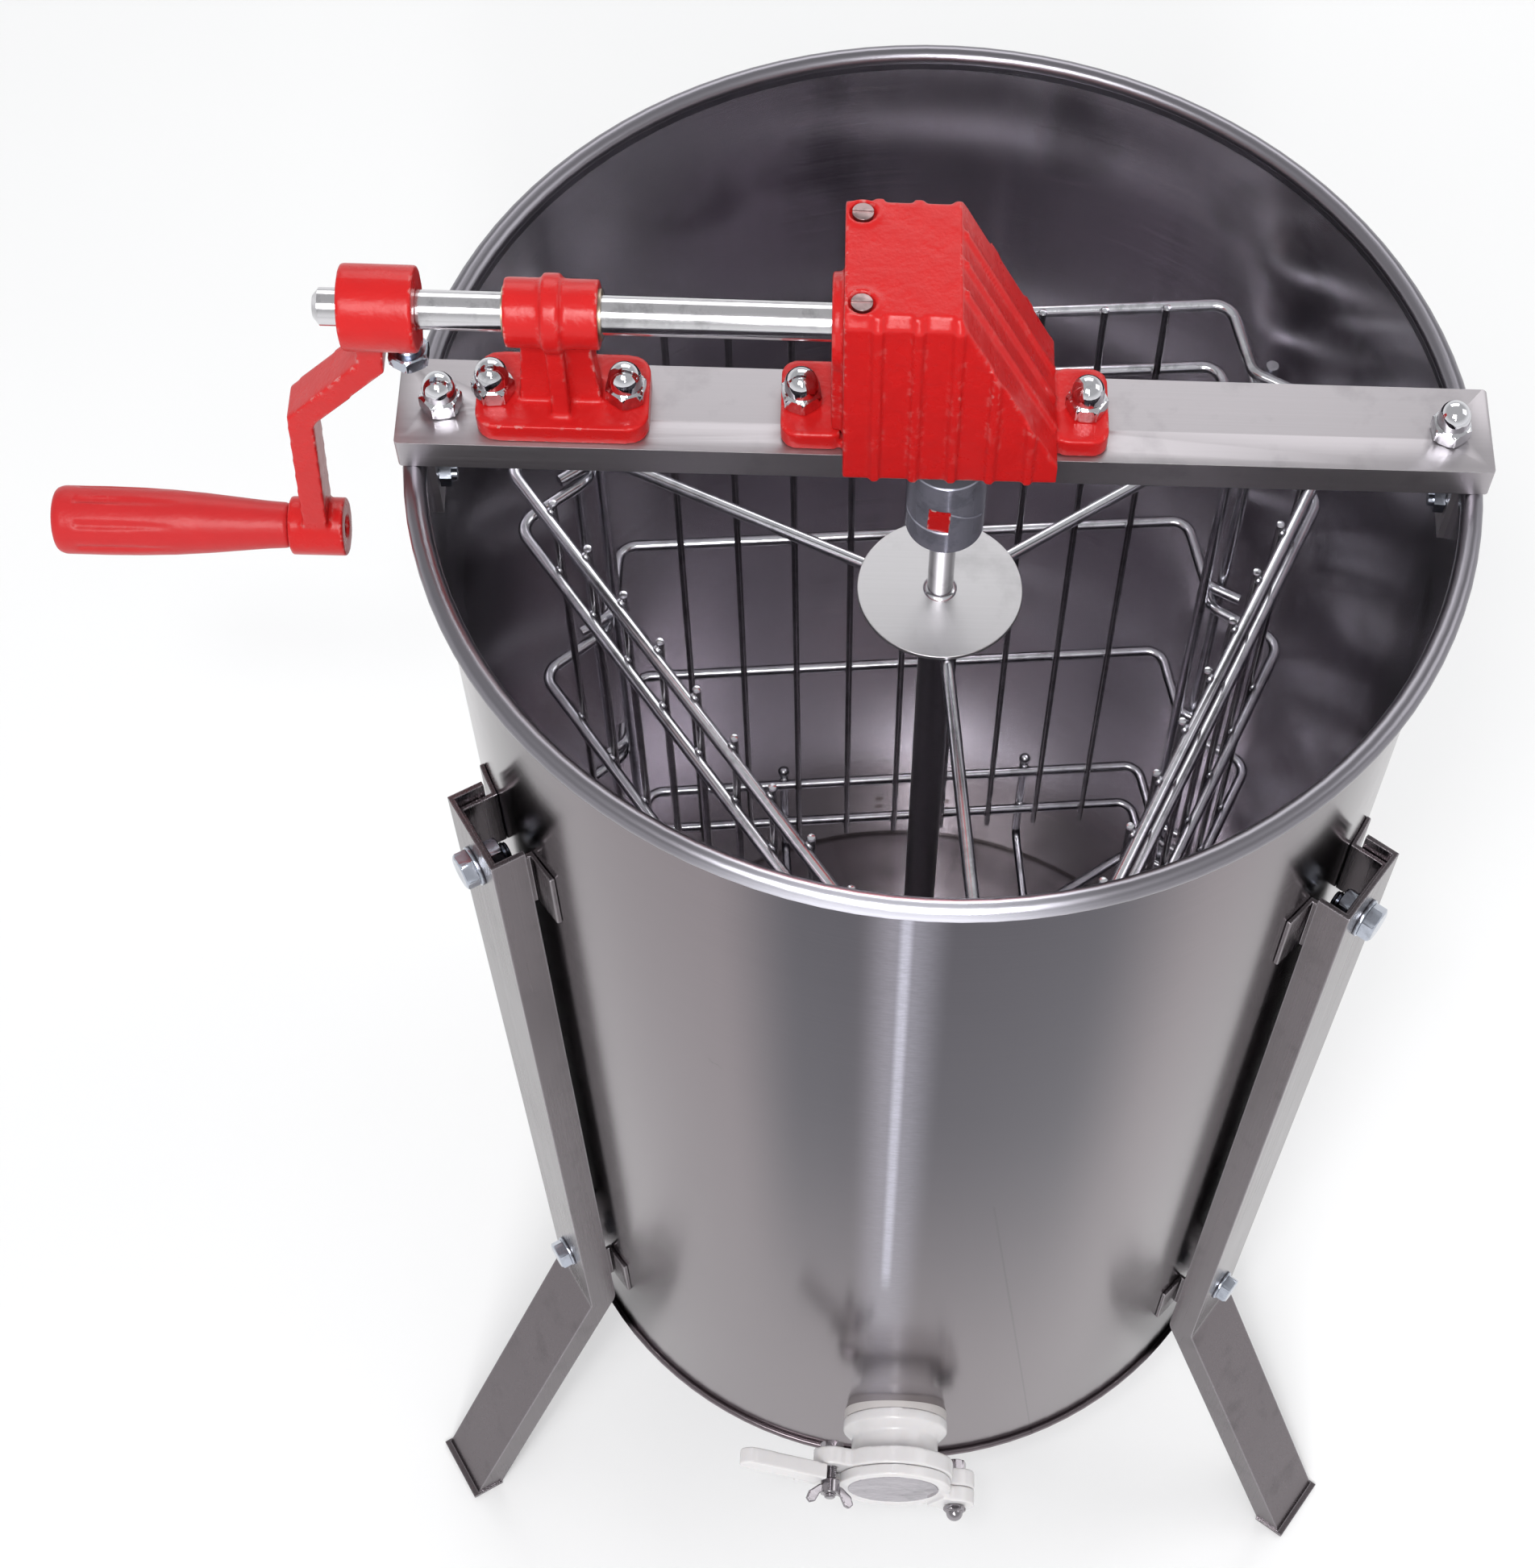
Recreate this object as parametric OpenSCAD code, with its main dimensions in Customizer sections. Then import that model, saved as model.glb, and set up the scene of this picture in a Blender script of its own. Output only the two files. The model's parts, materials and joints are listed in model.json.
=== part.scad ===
// Hand-cranked honey extractor: three tangential baskets in a steel drum on three legs.
// Millimetres, +Z up. The origin is on the floor under the drum's axis.
// The honey gate faces -Y, the cross bar lies along X and the crank is at -X.

/* [Drum] */
// Outside diameter of the drum
drum_d = 370; // [366:1:380]
// Height from the bottom hem to the middle of the rolled rim
drum_h = 626; // [620:1:660]
// Thickness of the drum's sheet
sheet = 1.2; // [0.8:0.1:1.5]
// Diameter of the rolled rim
rim_d = 8; // [7:0.5:9]
// Diameter of the folded bottom hem
hem_d = 4; // [3:0.5:5]
// Height of the bottom hem above the floor
base_z = 150; // [140:1:200]

/* [Cross bar] */
// Width of the bar
bar_w = 37; // [36:1:40]
// Length of the bar
bar_l = 384; // [384:1:392]
// Depth of the bar's folded lips, its sheet included
bar_h = 12.5; // [12:0.5:13]
// Thickness of the bar's sheet
bar_t = 2.5; // [2:0.1:3]
// Distance of the row of bolts behind the drum's axis
bolt_y = -1.5; // [-3:0.5:3]

/* [Drive] */
// Height of the crank shaft above the hem
crank_h = 690; // [688:1:692]
// Diameter of the crank shaft
crank_d = 13; // [12:0.5:13]
// Diameter of the upright shafts
shaft_d = 10; // [9:0.5:10]
// Radial clearance of every running fit
fit_gap = 0.05; // [0.02:0.01:0.08]
// Distance from the crank shaft to the grip's axis
crank_r = 122; // [110:1:130]
// Length of the grip
grip_l = 85; // [75:1:110]
// Tooth size of the bevel gears, as a module
gear_module = 1.5; // [1.4:0.1:1.5]

/* [Baskets] */
// Angle that the rotor is turned to at rest
rotor_phase = 5; // [-10:1:10]
// Distance from the axis to the middle of a basket's long rails
basket_r = 114; // [110:1:116]
// Half the distance between a basket's two short sides
basket_half_w = 127; // [120:1:130]
// Diameter of the bent rails
rail_d = 5; // [4:0.5:5]
// Diameter of the upright screen wires
wire_d = 3; // [2:0.5:3]
// Distance between two screen wires
wire_pitch = 25; // [22:1:27]

/* [Legs and gate] */
// Turn of each front leg from the gate's line
leg_spread = 56.5; // [52:0.5:60]
// Width of a leg's channel
leg_w = 36; // [34:1:40]
// Distance from the axis to the end of a leg's foot
foot_r = 296; // [285:1:310]
// Height of the gate's axis above the hem
gate_h = 68; // [64:1:80]
// Turn of the gate around its own axis
gate_tilt = 28; // [0:1:40]

/* [Hidden] */
$fn = 64;
e = 0.5;                         // overlap that joins two shapes of one piece
drum_r = drum_d / 2;
inner_r = drum_r - sheet;
hem_z = base_z;
rim_z = hem_z + drum_h;
floor_z = hem_z + 24;            // the floor's edge
floor_rise = 10;
bar_z0 = rim_z + rim_d / 2;      // the lips stand on the rim
bar_z = bar_z0 + bar_h;
crank_z = hem_z + crank_h;
shaft_r = shaft_d / 2;
crank_shaft_r = crank_d / 2;
gear_teeth = 28;                 // of the crank's bevel gear
pinion_teeth = 12;
front_az = -91.5;                // direction of the gate
leg_mid = -92.7;                 // direction between the two front legs
leg_az = [leg_mid - leg_spread, leg_mid + leg_spread, leg_mid + 180];
upper_bolt_z = hem_z + 498;
lower_bolt_z = hem_z + 88;
bolt_r = 4;                      // M8 bolts of the bar
foot_t = 8;                      // thickness of the castings' feet
pillow_x = -134.5;
pillow_bolts = [pillow_x - 23.5, pillow_x + 21.8];
gearbox_bolts = [-52.4, 46.6];
bar_bolts_x = concat(pillow_bolts, gearbox_bolts);
end_bolts_x = [-(inner_r - 7), inner_r - 7];
level_h = [160, 198, 306, 411, 518, 556];  // the six rails of a basket above the hem
// baskets are staggered so that their rails pass each other at a corner
level_step = [for (k = [1, -1, 0]) k * (rail_d + 0.2)];
basket_az = [90, 330, 210];
disc_z = hem_z + 535.9;

// ---------- shared shapes ----------

// A cylinder along X from x0 to x1 around the line y = 0, z = z
module rod_x(x0, x1, r, z) {
    translate([x0, 0, z]) rotate([0, 90, 0]) cylinder(h = x1 - x0, r = r);
}

// A plate with rounded corners, centred on x and y, with its bottom at z = 0
module round_plate(size, r, h) {
    linear_extrude(height = h) union() {
        square([size[0] - 2 * r, size[1]], center = true);
        square([size[0], size[1] - 2 * r], center = true);
        for (sx = [-1, 1], sy = [-1, 1])
            translate([sx * (size[0] / 2 - r), sy * (size[1] / 2 - r)]) circle(r);
    }
}

// A hexagonal prism with the given width across its flats
module hex(af, h) {
    cylinder(h = h, d = af / cos(30), $fn = 6);
}

// A bolt with a hexagonal head below z = 0 and its shank above
module hex_bolt(r, af, head, length) {
    translate([0, 0, -head]) hex(af, head);
    translate([0, 0, -e]) cylinder(h = length + e, r = r);
}

// A hexagonal nut on z = 0 with a hole for a shank of radius r
module hex_nut(r, af, h) {
    difference() {
        hex(af, h);
        translate([0, 0, -1]) cylinder(h = h + 2, r = r);
    }
}

// A flat washer on z = 0
module washer(r_hole, r_out, h) {
    difference() {
        cylinder(h = h, r = r_out);
        translate([0, 0, -1]) cylinder(h = h + 2, r = r_hole);
    }
}

// Angle of the line from point a to point b
function heading(a, b) = atan2(b[1] - a[1], b[0] - a[0]);

// Turn from one heading to the next, from -180 to 180
function turn(a, b, c) = let (t = heading(b, c) - heading(a, b)) t > 180 ? t - 360 : t < -180 ? t + 360 : t;

// A round rod bent in the XY plane through the points p, with bends of radius r.
// A bend is a hair thicker than a straight, and the straight's end lies inside it.
module bent_rod(p, r, d) {
    n = len(p);
    lap = 0.5;
    // length that the bend at point i takes from each of its straights
    cut = [for (i = [0 : n - 1])
        (i == 0 || i == n - 1) ? lap : r * tan(abs(turn(p[i - 1], p[i], p[i + 1])) / 2)];
    for (i = [0 : n - 2]) {
        run = norm(p[i + 1] - p[i]) - cut[i] - cut[i + 1];
        translate([p[i][0], p[i][1], 0]) rotate([0, 0, heading(p[i], p[i + 1])])
            translate([cut[i] - lap, 0, 0]) rotate([0, 90, 0]) cylinder(h = run + 2 * lap, d = d);
    }
    for (i = [1 : n - 2]) {
        t = turn(p[i - 1], p[i], p[i + 1]);
        side = t > 0 ? 1 : -1;
        translate([p[i][0], p[i][1], 0]) rotate([0, 0, heading(p[i - 1], p[i])])
            translate([-cut[i], side * r, 0]) rotate([0, 0, t > 0 ? -90 : 90 + t])
                rotate_extrude(angle = abs(t)) translate([r, 0]) circle(d = d + 0.06);
    }
}

// Direction to the left of the path p at its point i, as long as a mitre there needs
function mitre(p, i) = let (
        a = i > 0 ? p[i] - p[i - 1] : p[1] - p[0],
        b = i < len(p) - 1 ? p[i + 1] - p[i] : p[i] - p[i - 1],
        m = a / norm(a) + b / norm(b))
    [-m[1], m[0]] / (m * a / norm(a));

// The strip that follows the path p, from d0 to d1 on its left
function band(p, d0, d1) = concat(
    [for (i = [0 : len(p) - 1]) p[i] + d0 * mitre(p, i)],
    [for (i = [len(p) - 1 : -1 : 0]) p[i] + d1 * mitre(p, i)]);

// Extrudes an outline of the XZ plane along Y, from -half to half
module across(half) {
    rotate([90, 0, 0]) translate([0, 0, -half]) linear_extrude(height = 2 * half) children();
}

// ---------- drum ----------

module drum_shell() color("silver") {
    difference() {
        rotate_extrude($fn = 128) union() {
            translate([inner_r, hem_z + hem_d / 2]) square([sheet, drum_h - hem_d / 2]);
            translate([inner_r + hem_d / 2 + 0.1, hem_z + hem_d / 2]) circle(d = hem_d);
            translate([inner_r + rim_d / 2 + 0.1, rim_z]) difference() {
                circle(d = rim_d);
                circle(d = rim_d - 2 * sheet);
            }
        }
        gate_frame() translate([0, 0, -8]) cylinder(h = 16, r = gate_neck_r + 0.3);
        bracket_screw_places() cylinder(h = 12, r = 2.6);
    }
}

// A shallow cone that rises to the middle, with a skirt welded to the wall
module drum_floor() color("silver") rotate_extrude($fn = 128)
    polygon([[0, floor_z + floor_rise], [inner_r, floor_z], [inner_r, floor_z - 12],
        [inner_r - sheet, floor_z - 12], [inner_r - sheet, floor_z - sheet],
        [0, floor_z + floor_rise - sheet]]);

// ---------- cross bar and its brackets ----------

// A folded bar: a flat top with two lips that stand on the rim
module cross_bar() color("lightgray") difference() {
    translate([0, 0, bar_z0]) round_plate([bar_l, bar_w], 1.5, bar_h);
    translate([-bar_l, -bar_w / 2 + bar_t, bar_z0 - 1])
        cube([2 * bar_l, bar_w - 2 * bar_t, bar_h - bar_t + 1]);
    for (x = concat(bar_bolts_x, end_bolts_x))
        translate([x, bolt_y, bar_z0]) cylinder(h = bar_h + 1, r = bolt_r + 0.2);
    translate([0, 0, bar_z0]) cylinder(h = bar_h + 1, r = 12);
}

bracket_w = 26;
bracket_t = 2.5;
bracket_drop = 44;
module bar_brackets() color("gainsboro") for (s = [0, 180]) rotate([0, 0, s]) difference() {
    union() {
        translate([inner_r - 17.6, -bracket_w / 2, bar_z - bar_t - bracket_t])
            cube([16.6, bracket_w, bracket_t]);
        intersection() {
            translate([0, 0, bar_z - bar_t - bracket_drop]) difference() {
                cylinder(h = bracket_drop, r = inner_r);
                translate([0, 0, -1]) cylinder(h = bracket_drop + 2, r = inner_r - bracket_t);
            }
            translate([inner_r - 20, -bracket_w / 2, bar_z - bar_t - bracket_drop])
                cube([30, bracket_w, bracket_drop]);
        }
    }
    translate([end_bolts_x[1], s == 0 ? bolt_y : -bolt_y, bar_z - 20]) cylinder(h = 30, r = bolt_r);
    bracket_screw_row() cylinder(h = 12, r = 2.6);
}

// The two screws of the bracket at +X, pointing outwards from inside the drum
module bracket_screw_row() {
    for (y = [-8, 8]) rotate([0, 0, asin(y / drum_r)])
        translate([inner_r - 6, 0, rim_z - 14]) rotate([0, 90, 0]) children();
}

module bracket_screw_places() {
    for (s = [0, 180]) rotate([0, 0, s]) bracket_screw_row() children();
}

module bracket_screws() color("lightsteelblue") bracket_screw_places() union() {
    translate([0, 0, 6 + sheet]) cylinder(h = 4, r = 4.2);
    translate([0, 0, -3]) cylinder(h = 9 + sheet + e, r = 2.5);
}

module bracket_nuts() color("lightsteelblue") bracket_screw_places()
    translate([0, 0, 6 - bracket_t - 4.6]) hex_nut(2.5, 8, 4);

// Bolts up through the bar: through the castings' feet, and short studs set in the two brackets
module bar_bolts() color("lightsteelblue") {
    for (x = bar_bolts_x)
        translate([x, bolt_y, bar_z - bar_t]) hex_bolt(bolt_r, 13, 5.3, bar_t + foot_t + 8);
    for (x = end_bolts_x) translate([x, bolt_y, bar_z - bar_t - bracket_t - 4])
        cylinder(h = bar_t + bracket_t + 12, r = bolt_r);
}

// An acorn nut on z = 0 for a shank of radius r: a hexagon under a dome, hollow where the bolt ends
module acorn_nut(r, af, h, neck, dome_r) difference() {
    union() {
        hex(af, h);
        translate([0, 0, h - e]) cylinder(h = neck + e, r = dome_r);
        translate([0, 0, h + neck]) sphere(r = dome_r);
    }
    translate([0, 0, -1]) cylinder(h = h + 3, r = r);
}

module acorn_nuts() color("whitesmoke") {
    for (x = bar_bolts_x) translate([x, bolt_y, bar_z + foot_t]) acorn_nut(bolt_r, 13, 6.5, 2.7, 5.8);
    for (x = end_bolts_x) translate([x, bolt_y, bar_z]) acorn_nut(bolt_r, 13, 6.5, 2.7, 5.8);
}

// ---------- gearbox ----------

box_x0 = -38;                    // the housing's left side
box_x1 = 36;                     // and its right side
box_foot_y = 28.2;               // half of the housing's width at the bar
box_half_y = 26.8;               // and under its top edge
box_t = 3.5;
box_top = hem_z + 722;
box_shoulder = hem_z + 651;      // the slope's lower edge
box_ridge_x = 0;                 // the slope's upper edge
bush_r = 8.5;                    // outside radius of the crank shaft's bushes
pinion_bush_r = 8;
boss_h = 12.5;                   // the floor boss that holds the pinion's bush
cover_screws_y = [-19, 19];

// The side view of the housing, moved in by m
function box_outline(m) = let (
        slope = atan2(box_top - box_shoulder, box_x1 - box_ridge_x),
        dx = m * (1 - cos(slope)) / sin(slope),
        dz = m * (1 - sin(slope)) / cos(slope))
    [[box_x0 + m, bar_z + m], [box_x1 - m, bar_z + m], [box_x1 - m, box_shoulder - dz],
     [box_ridge_x - dx, box_top - m], [box_x0 + m, box_top - m]];

// The end view of the housing, grown by m: tapered, with its two top edges cut off
function box_section(m) = [[-box_foot_y - m, bar_z], [box_foot_y + m, bar_z],
    [box_half_y + m, box_top - 4], [box_half_y - 4 + m, box_top + 1],
    [-box_half_y + 4 - m, box_top + 1], [-box_half_y - m, box_top - 4]];

// Extrudes an outline of the YZ plane along X, from x0 to x1
module along_x(x0, x1) {
    translate([x0, 0, 0]) rotate([90, 0, 90]) linear_extrude(height = x1 - x0) children();
}

rib_w = 3;
rib_d = 1.5;
module gearbox_housing() color("red") difference() {
    union() {
        intersection() {
            across(40) polygon(box_outline(0));
            union() {
                along_x(box_x0, box_x1) polygon(box_section(0));
                for (i = [0 : 4]) let (x = -27 + 13.2 * i)
                    along_x(x - rib_w / 2, x + rib_w / 2) polygon(box_section(rib_d));
            }
        }
        translate([-48.1, 0, bar_z]) round_plate([23, bar_w - 4], 6, foot_t);
        translate([44.5, 0, bar_z]) round_plate([20, bar_w - 4], 6, foot_t);
        slope_ribs();
        for (y = cover_screws_y) translate([-32.3, y, box_top - 2]) cylinder(h = 2.7, r = 5.6);
    }
    difference() {
        across(box_half_y - box_t) polygon(box_outline(box_t));
        translate([0, 0, bar_z]) cylinder(h = boss_h, r = pinion_bush_r + 3.5);
    }
    // the opening that the cover closes
    translate([box_x0 - 1, -box_half_y + box_t, bar_z + box_t])
        cube([box_t + 2, 2 * (box_half_y - box_t), box_top - bar_z - 2 * box_t]);
    translate([0, 0, bar_z - 1]) cylinder(h = boss_h + 2, r = pinion_bush_r);
    for (x = gearbox_bolts) translate([x, bolt_y, bar_z - 1]) cylinder(h = foot_t + 2, r = bolt_r + 0.2);
    for (y = cover_screws_y) translate([-32.3, y, box_top]) {
        translate([0, 0, -box_t - 1]) cylinder(h = box_t + 4, r = 2.2);
        translate([0, 0, -1.6]) cylinder(h = 4, r = 4.4);
    }
}

module slope_ribs() {
    rise = atan((box_top - box_shoulder) / (box_x1 - box_ridge_x));
    run = norm([box_x1 - box_ridge_x, box_top - box_shoulder]);
    for (y = [-12.5, 0, 12.5]) translate([box_ridge_x, y - rib_w / 2, box_top]) rotate([0, rise, 0])
        translate([2, 0, -rib_d]) cube([run - 4, rib_w, 2 * rib_d]);
}

// The side cover: it carries the crank shaft's inner bush on a raised pad
module gearbox_cover() color("red") difference() {
    union() {
        translate([box_x0, -box_half_y + box_t + 0.1, bar_z + box_t + 0.1])
            cube([box_t, 2 * (box_half_y - box_t - 0.1), box_top - bar_z - 2 * box_t - 0.2]);
        rod_x(box_x0 - 4, box_x0 + e, 16.5, crank_z);
        translate([box_x0 - 4, -15, bar_z + foot_t + 1])
            cube([4 + e, 30, crank_z - bar_z - foot_t - 1]);
        rod_x(box_x0 + box_t - e, box_x0 + box_t + 5, 12, crank_z);
        for (y = cover_screws_y) translate([box_x0 + box_t - e, y - 4, box_top - box_t - 12])
            cube([9, 8, 11.8]);
    }
    rod_x(box_x0 - 6, box_x0 + box_t + 8, bush_r, crank_z);
    for (y = cover_screws_y) translate([-32.3, y, box_top - box_t - 10]) cylinder(h = 12, r = 1.9);
}

module gearbox_screws() color("whitesmoke") for (y = cover_screws_y) translate([-32.3, y, box_top]) {
    difference() {
        translate([0, 0, -1.6]) cylinder(h = 2, r = 3.6);
        translate([-5, -0.5, -0.4]) cube([10, 1, 2]);
    }
    translate([0, 0, -11]) cylinder(h = 10, r = 1.9);
}

// A plain bush along X around the crank shaft
module shaft_bush(x0, x1) color("darkgoldenrod") difference() {
    rod_x(x0, x1, bush_r, crank_z);
    rod_x(x0 - 1, x1 + 1, crank_shaft_r + fit_gap, crank_z);
}

module cover_bush() shaft_bush(box_x0 - 4, box_x0 + box_t + 6);

module pinion_bush() color("darkgoldenrod") difference() {
    union() {
        translate([0, 0, bar_z0 - 4]) cylinder(h = bar_h + 5 + boss_h, r = pinion_bush_r);
        translate([0, 0, bar_z + boss_h]) cylinder(h = 2, r = pinion_bush_r + 2.5);
    }
    translate([0, 0, bar_z0 - 5]) cylinder(h = bar_h + boss_h + 10, r = shaft_r + fit_gap);
}

// ---------- pillow block ----------

sleeve_half = 15.5;
module pillow_block() color("red") difference() {
    union() {
        translate([pillow_x, 0, bar_z]) round_plate([59.3, bar_w - 4], 7.5, foot_t);
        rod_x(pillow_x - sleeve_half, pillow_x + sleeve_half, 11.5, crank_z);
        rod_x(pillow_x - 3, pillow_x + 3, 13.2, crank_z);
        // the web along the shaft, and the rib across it on the base's middle
        translate([pillow_x, 0, 0]) across(4.5)
            polygon([[-15, bar_z + 2], [14, bar_z + 2], [11, crank_z - 4], [-11, crank_z - 4]]);
        along_x(pillow_x - 3, pillow_x + 3)
            polygon([[-12, bar_z + 2], [12, bar_z + 2], [9, crank_z - 4], [-9, crank_z - 4]]);
    }
    rod_x(pillow_x - 20, pillow_x + 20, bush_r, crank_z);
    for (x = pillow_bolts) translate([x, bolt_y, bar_z - 1]) cylinder(h = foot_t + 2, r = bolt_r + 0.2);
}

module pillow_bush() shaft_bush(pillow_x - sleeve_half - 0.8, pillow_x + sleeve_half + 0.8);

// ---------- crank ----------

hub_x0 = -203.6;
hub_x1 = -179;
boss_x0 = -241;
boss_x1 = -221;
boss_z = crank_z - crank_r;
grip_pin_r = 4;
set_bolt_x = -184.8;

// The shaft ends in a stub, set off by a groove, with a rounded tip
module crank_shaft() color("silver") union() {
    rod_x(-204, -4, crank_shaft_r, crank_z);
    rod_x(-205, -203.5, crank_shaft_r - 0.7, crank_z);
    rod_x(-210.8, -204.8, crank_shaft_r - 0.25, crank_z);
    translate([-212.8, 0, crank_z]) rotate([0, 90, 0])
        cylinder(h = 2, r1 = crank_shaft_r - 2.6, r2 = crank_shaft_r - 0.25);
}

// The arm's middle line, in the XZ plane
arm_path = [[-195.5, crank_z - 8], [-197, crank_z - 22], [-225.5, crank_z - 52], [-231, boss_z + 3]];
arm_w = 9;

module crank_arm() color("red") difference() {
    union() {
        rod_x(hub_x0, hub_x1, 14.25, crank_z);
        rod_x(boss_x0, boss_x1, 10.75, boss_z);
        across(7.5) polygon(band(arm_path, -arm_w / 2, arm_w / 2));
        translate([set_bolt_x, 0, crank_z - 16.5]) cylinder(h = 10, r = 5.8);
    }
    rod_x(hub_x0 - 1, hub_x1 + 1, crank_shaft_r, crank_z);
    rod_x(boss_x0 - 1, boss_x1 + 1, grip_pin_r, boss_z);
    translate([set_bolt_x, 0, crank_z - 18]) cylinder(h = 16, r = bolt_r);
}

module crank_set_bolt() color("lightsteelblue") translate([set_bolt_x, 0, crank_z - 16.5]) union() {
    translate([0, 0, -8.5]) rotate([0, 0, 30]) hex(13, 5.5);
    translate([0, 0, -3 - e]) cylinder(h = 19.3 - crank_shaft_r + e, r = bolt_r);
}

// The pin that the grip turns on: pressed in the arm's boss, with its head in the grip's end
module grip_pin() color("silver") union() {
    rod_x(boss_x0 - grip_l + 1.5, boss_x0 - grip_l + 5, 7, boss_z);
    rod_x(boss_x0 - grip_l + 4, boss_x1 - 1.5, grip_pin_r, boss_z);
}

module crank_grip() color("red") difference() {
    flutes = 8;
    translate([boss_x0 - 0.5, 0, boss_z]) rotate([0, -90, 0]) rotate_extrude()
        polygon([[0, 0], [7.6, 0], [8.4, 1.2], [8.8, 8], [9.8, 18], [11, 30], [11.9, 42], [12.4, 54],
            [12.6, 66], [12.5, grip_l - 3.5], [11.7, grip_l - 1.2], [10.2, grip_l - 0.5],
            [0, grip_l - 0.5]]);
    for (i = [0 : flutes - 1]) translate([0, 0, boss_z]) rotate([i * 360 / flutes, 0, 0])
        rod_x(boss_x0 - grip_l + 8, boss_x0 - 34, 1.8, 13.4);
    rod_x(boss_x0 - grip_l - 2, boss_x0 - grip_l + 5.3, 7.4, boss_z);
    rod_x(boss_x0 - grip_l - 2, boss_x0 + 2, grip_pin_r + fit_gap, boss_z);
}

// ---------- bevel gears ----------

// A straight bevel gear with its cone's tip at the origin and its body on the -Z side
module bevel_gear(teeth, mate, offset_teeth) {
    cone = gear_module / 2 * norm([teeth, mate]);
    pitch_angle = atan(teeth / mate);
    face = 6;
    tip_h = 0.9;
    root_h = 1.5;
    small = (cone - face) / cone;
    // root cone, as radius and height, at its large end and at its small end
    root_r = cone * sin(pitch_angle) - root_h * cos(pitch_angle);
    root_z = -cone * cos(pitch_angle) - root_h * sin(pitch_angle);
    rotate_extrude() polygon([[0, root_z - 2.5], [root_r - 0.5, root_z - 2.5], [root_r, root_z],
        [root_r * small, root_z * small], [0, root_z * small]]);
    for (i = [0 : teeth - 1]) rotate([0, 0, (i + offset_teeth) * 360 / teeth])
        translate([cone * sin(pitch_angle), 0, -cone * cos(pitch_angle)]) rotate([0, -pitch_angle, 0])
            linear_extrude(height = face, scale = small)
                polygon([[-root_h - 0.4, 1.35], [0, 0.98], [tip_h, 0.55],
                    [tip_h, -0.55], [0, -0.98], [-root_h - 0.4, -1.35]]);
}

module crank_gear() color("dimgray") difference() {
    union() {
        translate([0, 0, crank_z]) rotate([0, 90, 0]) bevel_gear(gear_teeth, pinion_teeth, 0.5);
        rod_x(-24, -11, 10.5, crank_z);
    }
    rod_x(-26, 2, crank_shaft_r, crank_z);
}

module pinion() color("dimgray") difference() {
    union() {
        translate([0, 0, crank_z]) bevel_gear(pinion_teeth, gear_teeth, 0);
        translate([0, 0, bar_z + boss_h + 2.4]) cylinder(h = 9.5, r = 7.6);
    }
    translate([0, 0, bar_z]) cylinder(h = 60, r = shaft_r);
}

// ---------- clutch ----------

clutch_r = 14.6;
clutch_top = hem_z + 619;
clutch_split = hem_z + 592.7;
clutch_bottom = hem_z + 580.7;
dog_az = -102;
dog_w = 8.4;
dog_h = 11.5;
module pinion_shaft() color("silver") translate([0, 0, clutch_split + 12])
    cylinder(h = crank_z - 15.8 - clutch_split - 12, r = shaft_r);

// The slots of the clutch's driving half, for the two dogs of the driven half
module dog_places() for (a = [0, 180]) rotate([0, 0, dog_az + a]) children();

module clutch_upper() color("whitesmoke") difference() {
    union() {
        translate([0, 0, clutch_split + 0.3]) cylinder(h = clutch_top - clutch_split - 2.3, r = clutch_r);
        translate([0, 0, clutch_top - 2]) cylinder(h = 2, r1 = clutch_r, r2 = clutch_r - 2);
    }
    dog_places() translate([8, -dog_w / 2 - 0.4, clutch_split - 1]) cube([10, dog_w + 0.8, dog_h + 2]);
    translate([0, 0, clutch_split + 12]) cylinder(h = 40, r = shaft_r);
    translate([0, 0, clutch_split - 1]) cylinder(h = 11, r = shaft_r + 1);
    for (a = [-107, 13, 133]) rotate([0, 0, a]) translate([shaft_r - 1, 0, clutch_split + 18.5])
        rotate([0, 90, 0]) cylinder(h = 20, r = 2);
}

module clutch_screws() color("dimgray") for (a = [-107, 13, 133]) rotate([0, 0, a])
    translate([shaft_r, 0, clutch_split + 18.5]) rotate([0, 90, 0]) difference() {
        cylinder(h = clutch_r - shaft_r - 0.6, r = 2);
        translate([0, 0, 6]) cylinder(h = 6, r = 1.1, $fn = 6);
    }

module clutch_lower() color("whitesmoke") difference() {
    union() {
        translate([0, 0, clutch_bottom]) cylinder(h = clutch_split - clutch_bottom, r = clutch_r);
        translate([0, 0, clutch_split - e]) cylinder(h = 3 + e, r = shaft_r + 0.6);
    }
    translate([0, 0, clutch_bottom - 1]) cylinder(h = 40, r = shaft_r);
}

module drive_dog() color("red") dog_places()
    translate([8.4, -dog_w / 2, clutch_split]) cube([5.2, dog_w, dog_h]);

// ---------- rotor ----------

tube_r = 7;
tube_bore_r = 6;
post_r = 2.5;
spoke_r = 2.6;
flare = [[145, 70], [131, 79]];  // the end of a rail, and the bend before it
// distance from the axis at which the rails of two baskets cross, along the corner's line
corner_r = let (d = flare[0] - flare[1], n = [-d[1], d[0]] / norm(d))
    (n * flare[1]) / (n * [cos(30), sin(30)]);
post_gap = (rail_d / 2 + post_r) / cos(heading(flare[1], flare[0]) + 60);
corners = [for (a = [30, 150, 270]) a + rotor_phase];

module rotor_shaft() color("silver") union() {
    translate([0, 0, disc_z + 2]) cylinder(h = clutch_split + 2 - disc_z - 2, r = shaft_r);
    translate([0, 0, disc_z + 2]) cylinder(h = 1.2, r1 = shaft_r + 1, r2 = shaft_r - 0.2);
}

module hub_disc() color("lightgray") translate([0, 0, disc_z]) cylinder(h = 2, r = 32);

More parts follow.
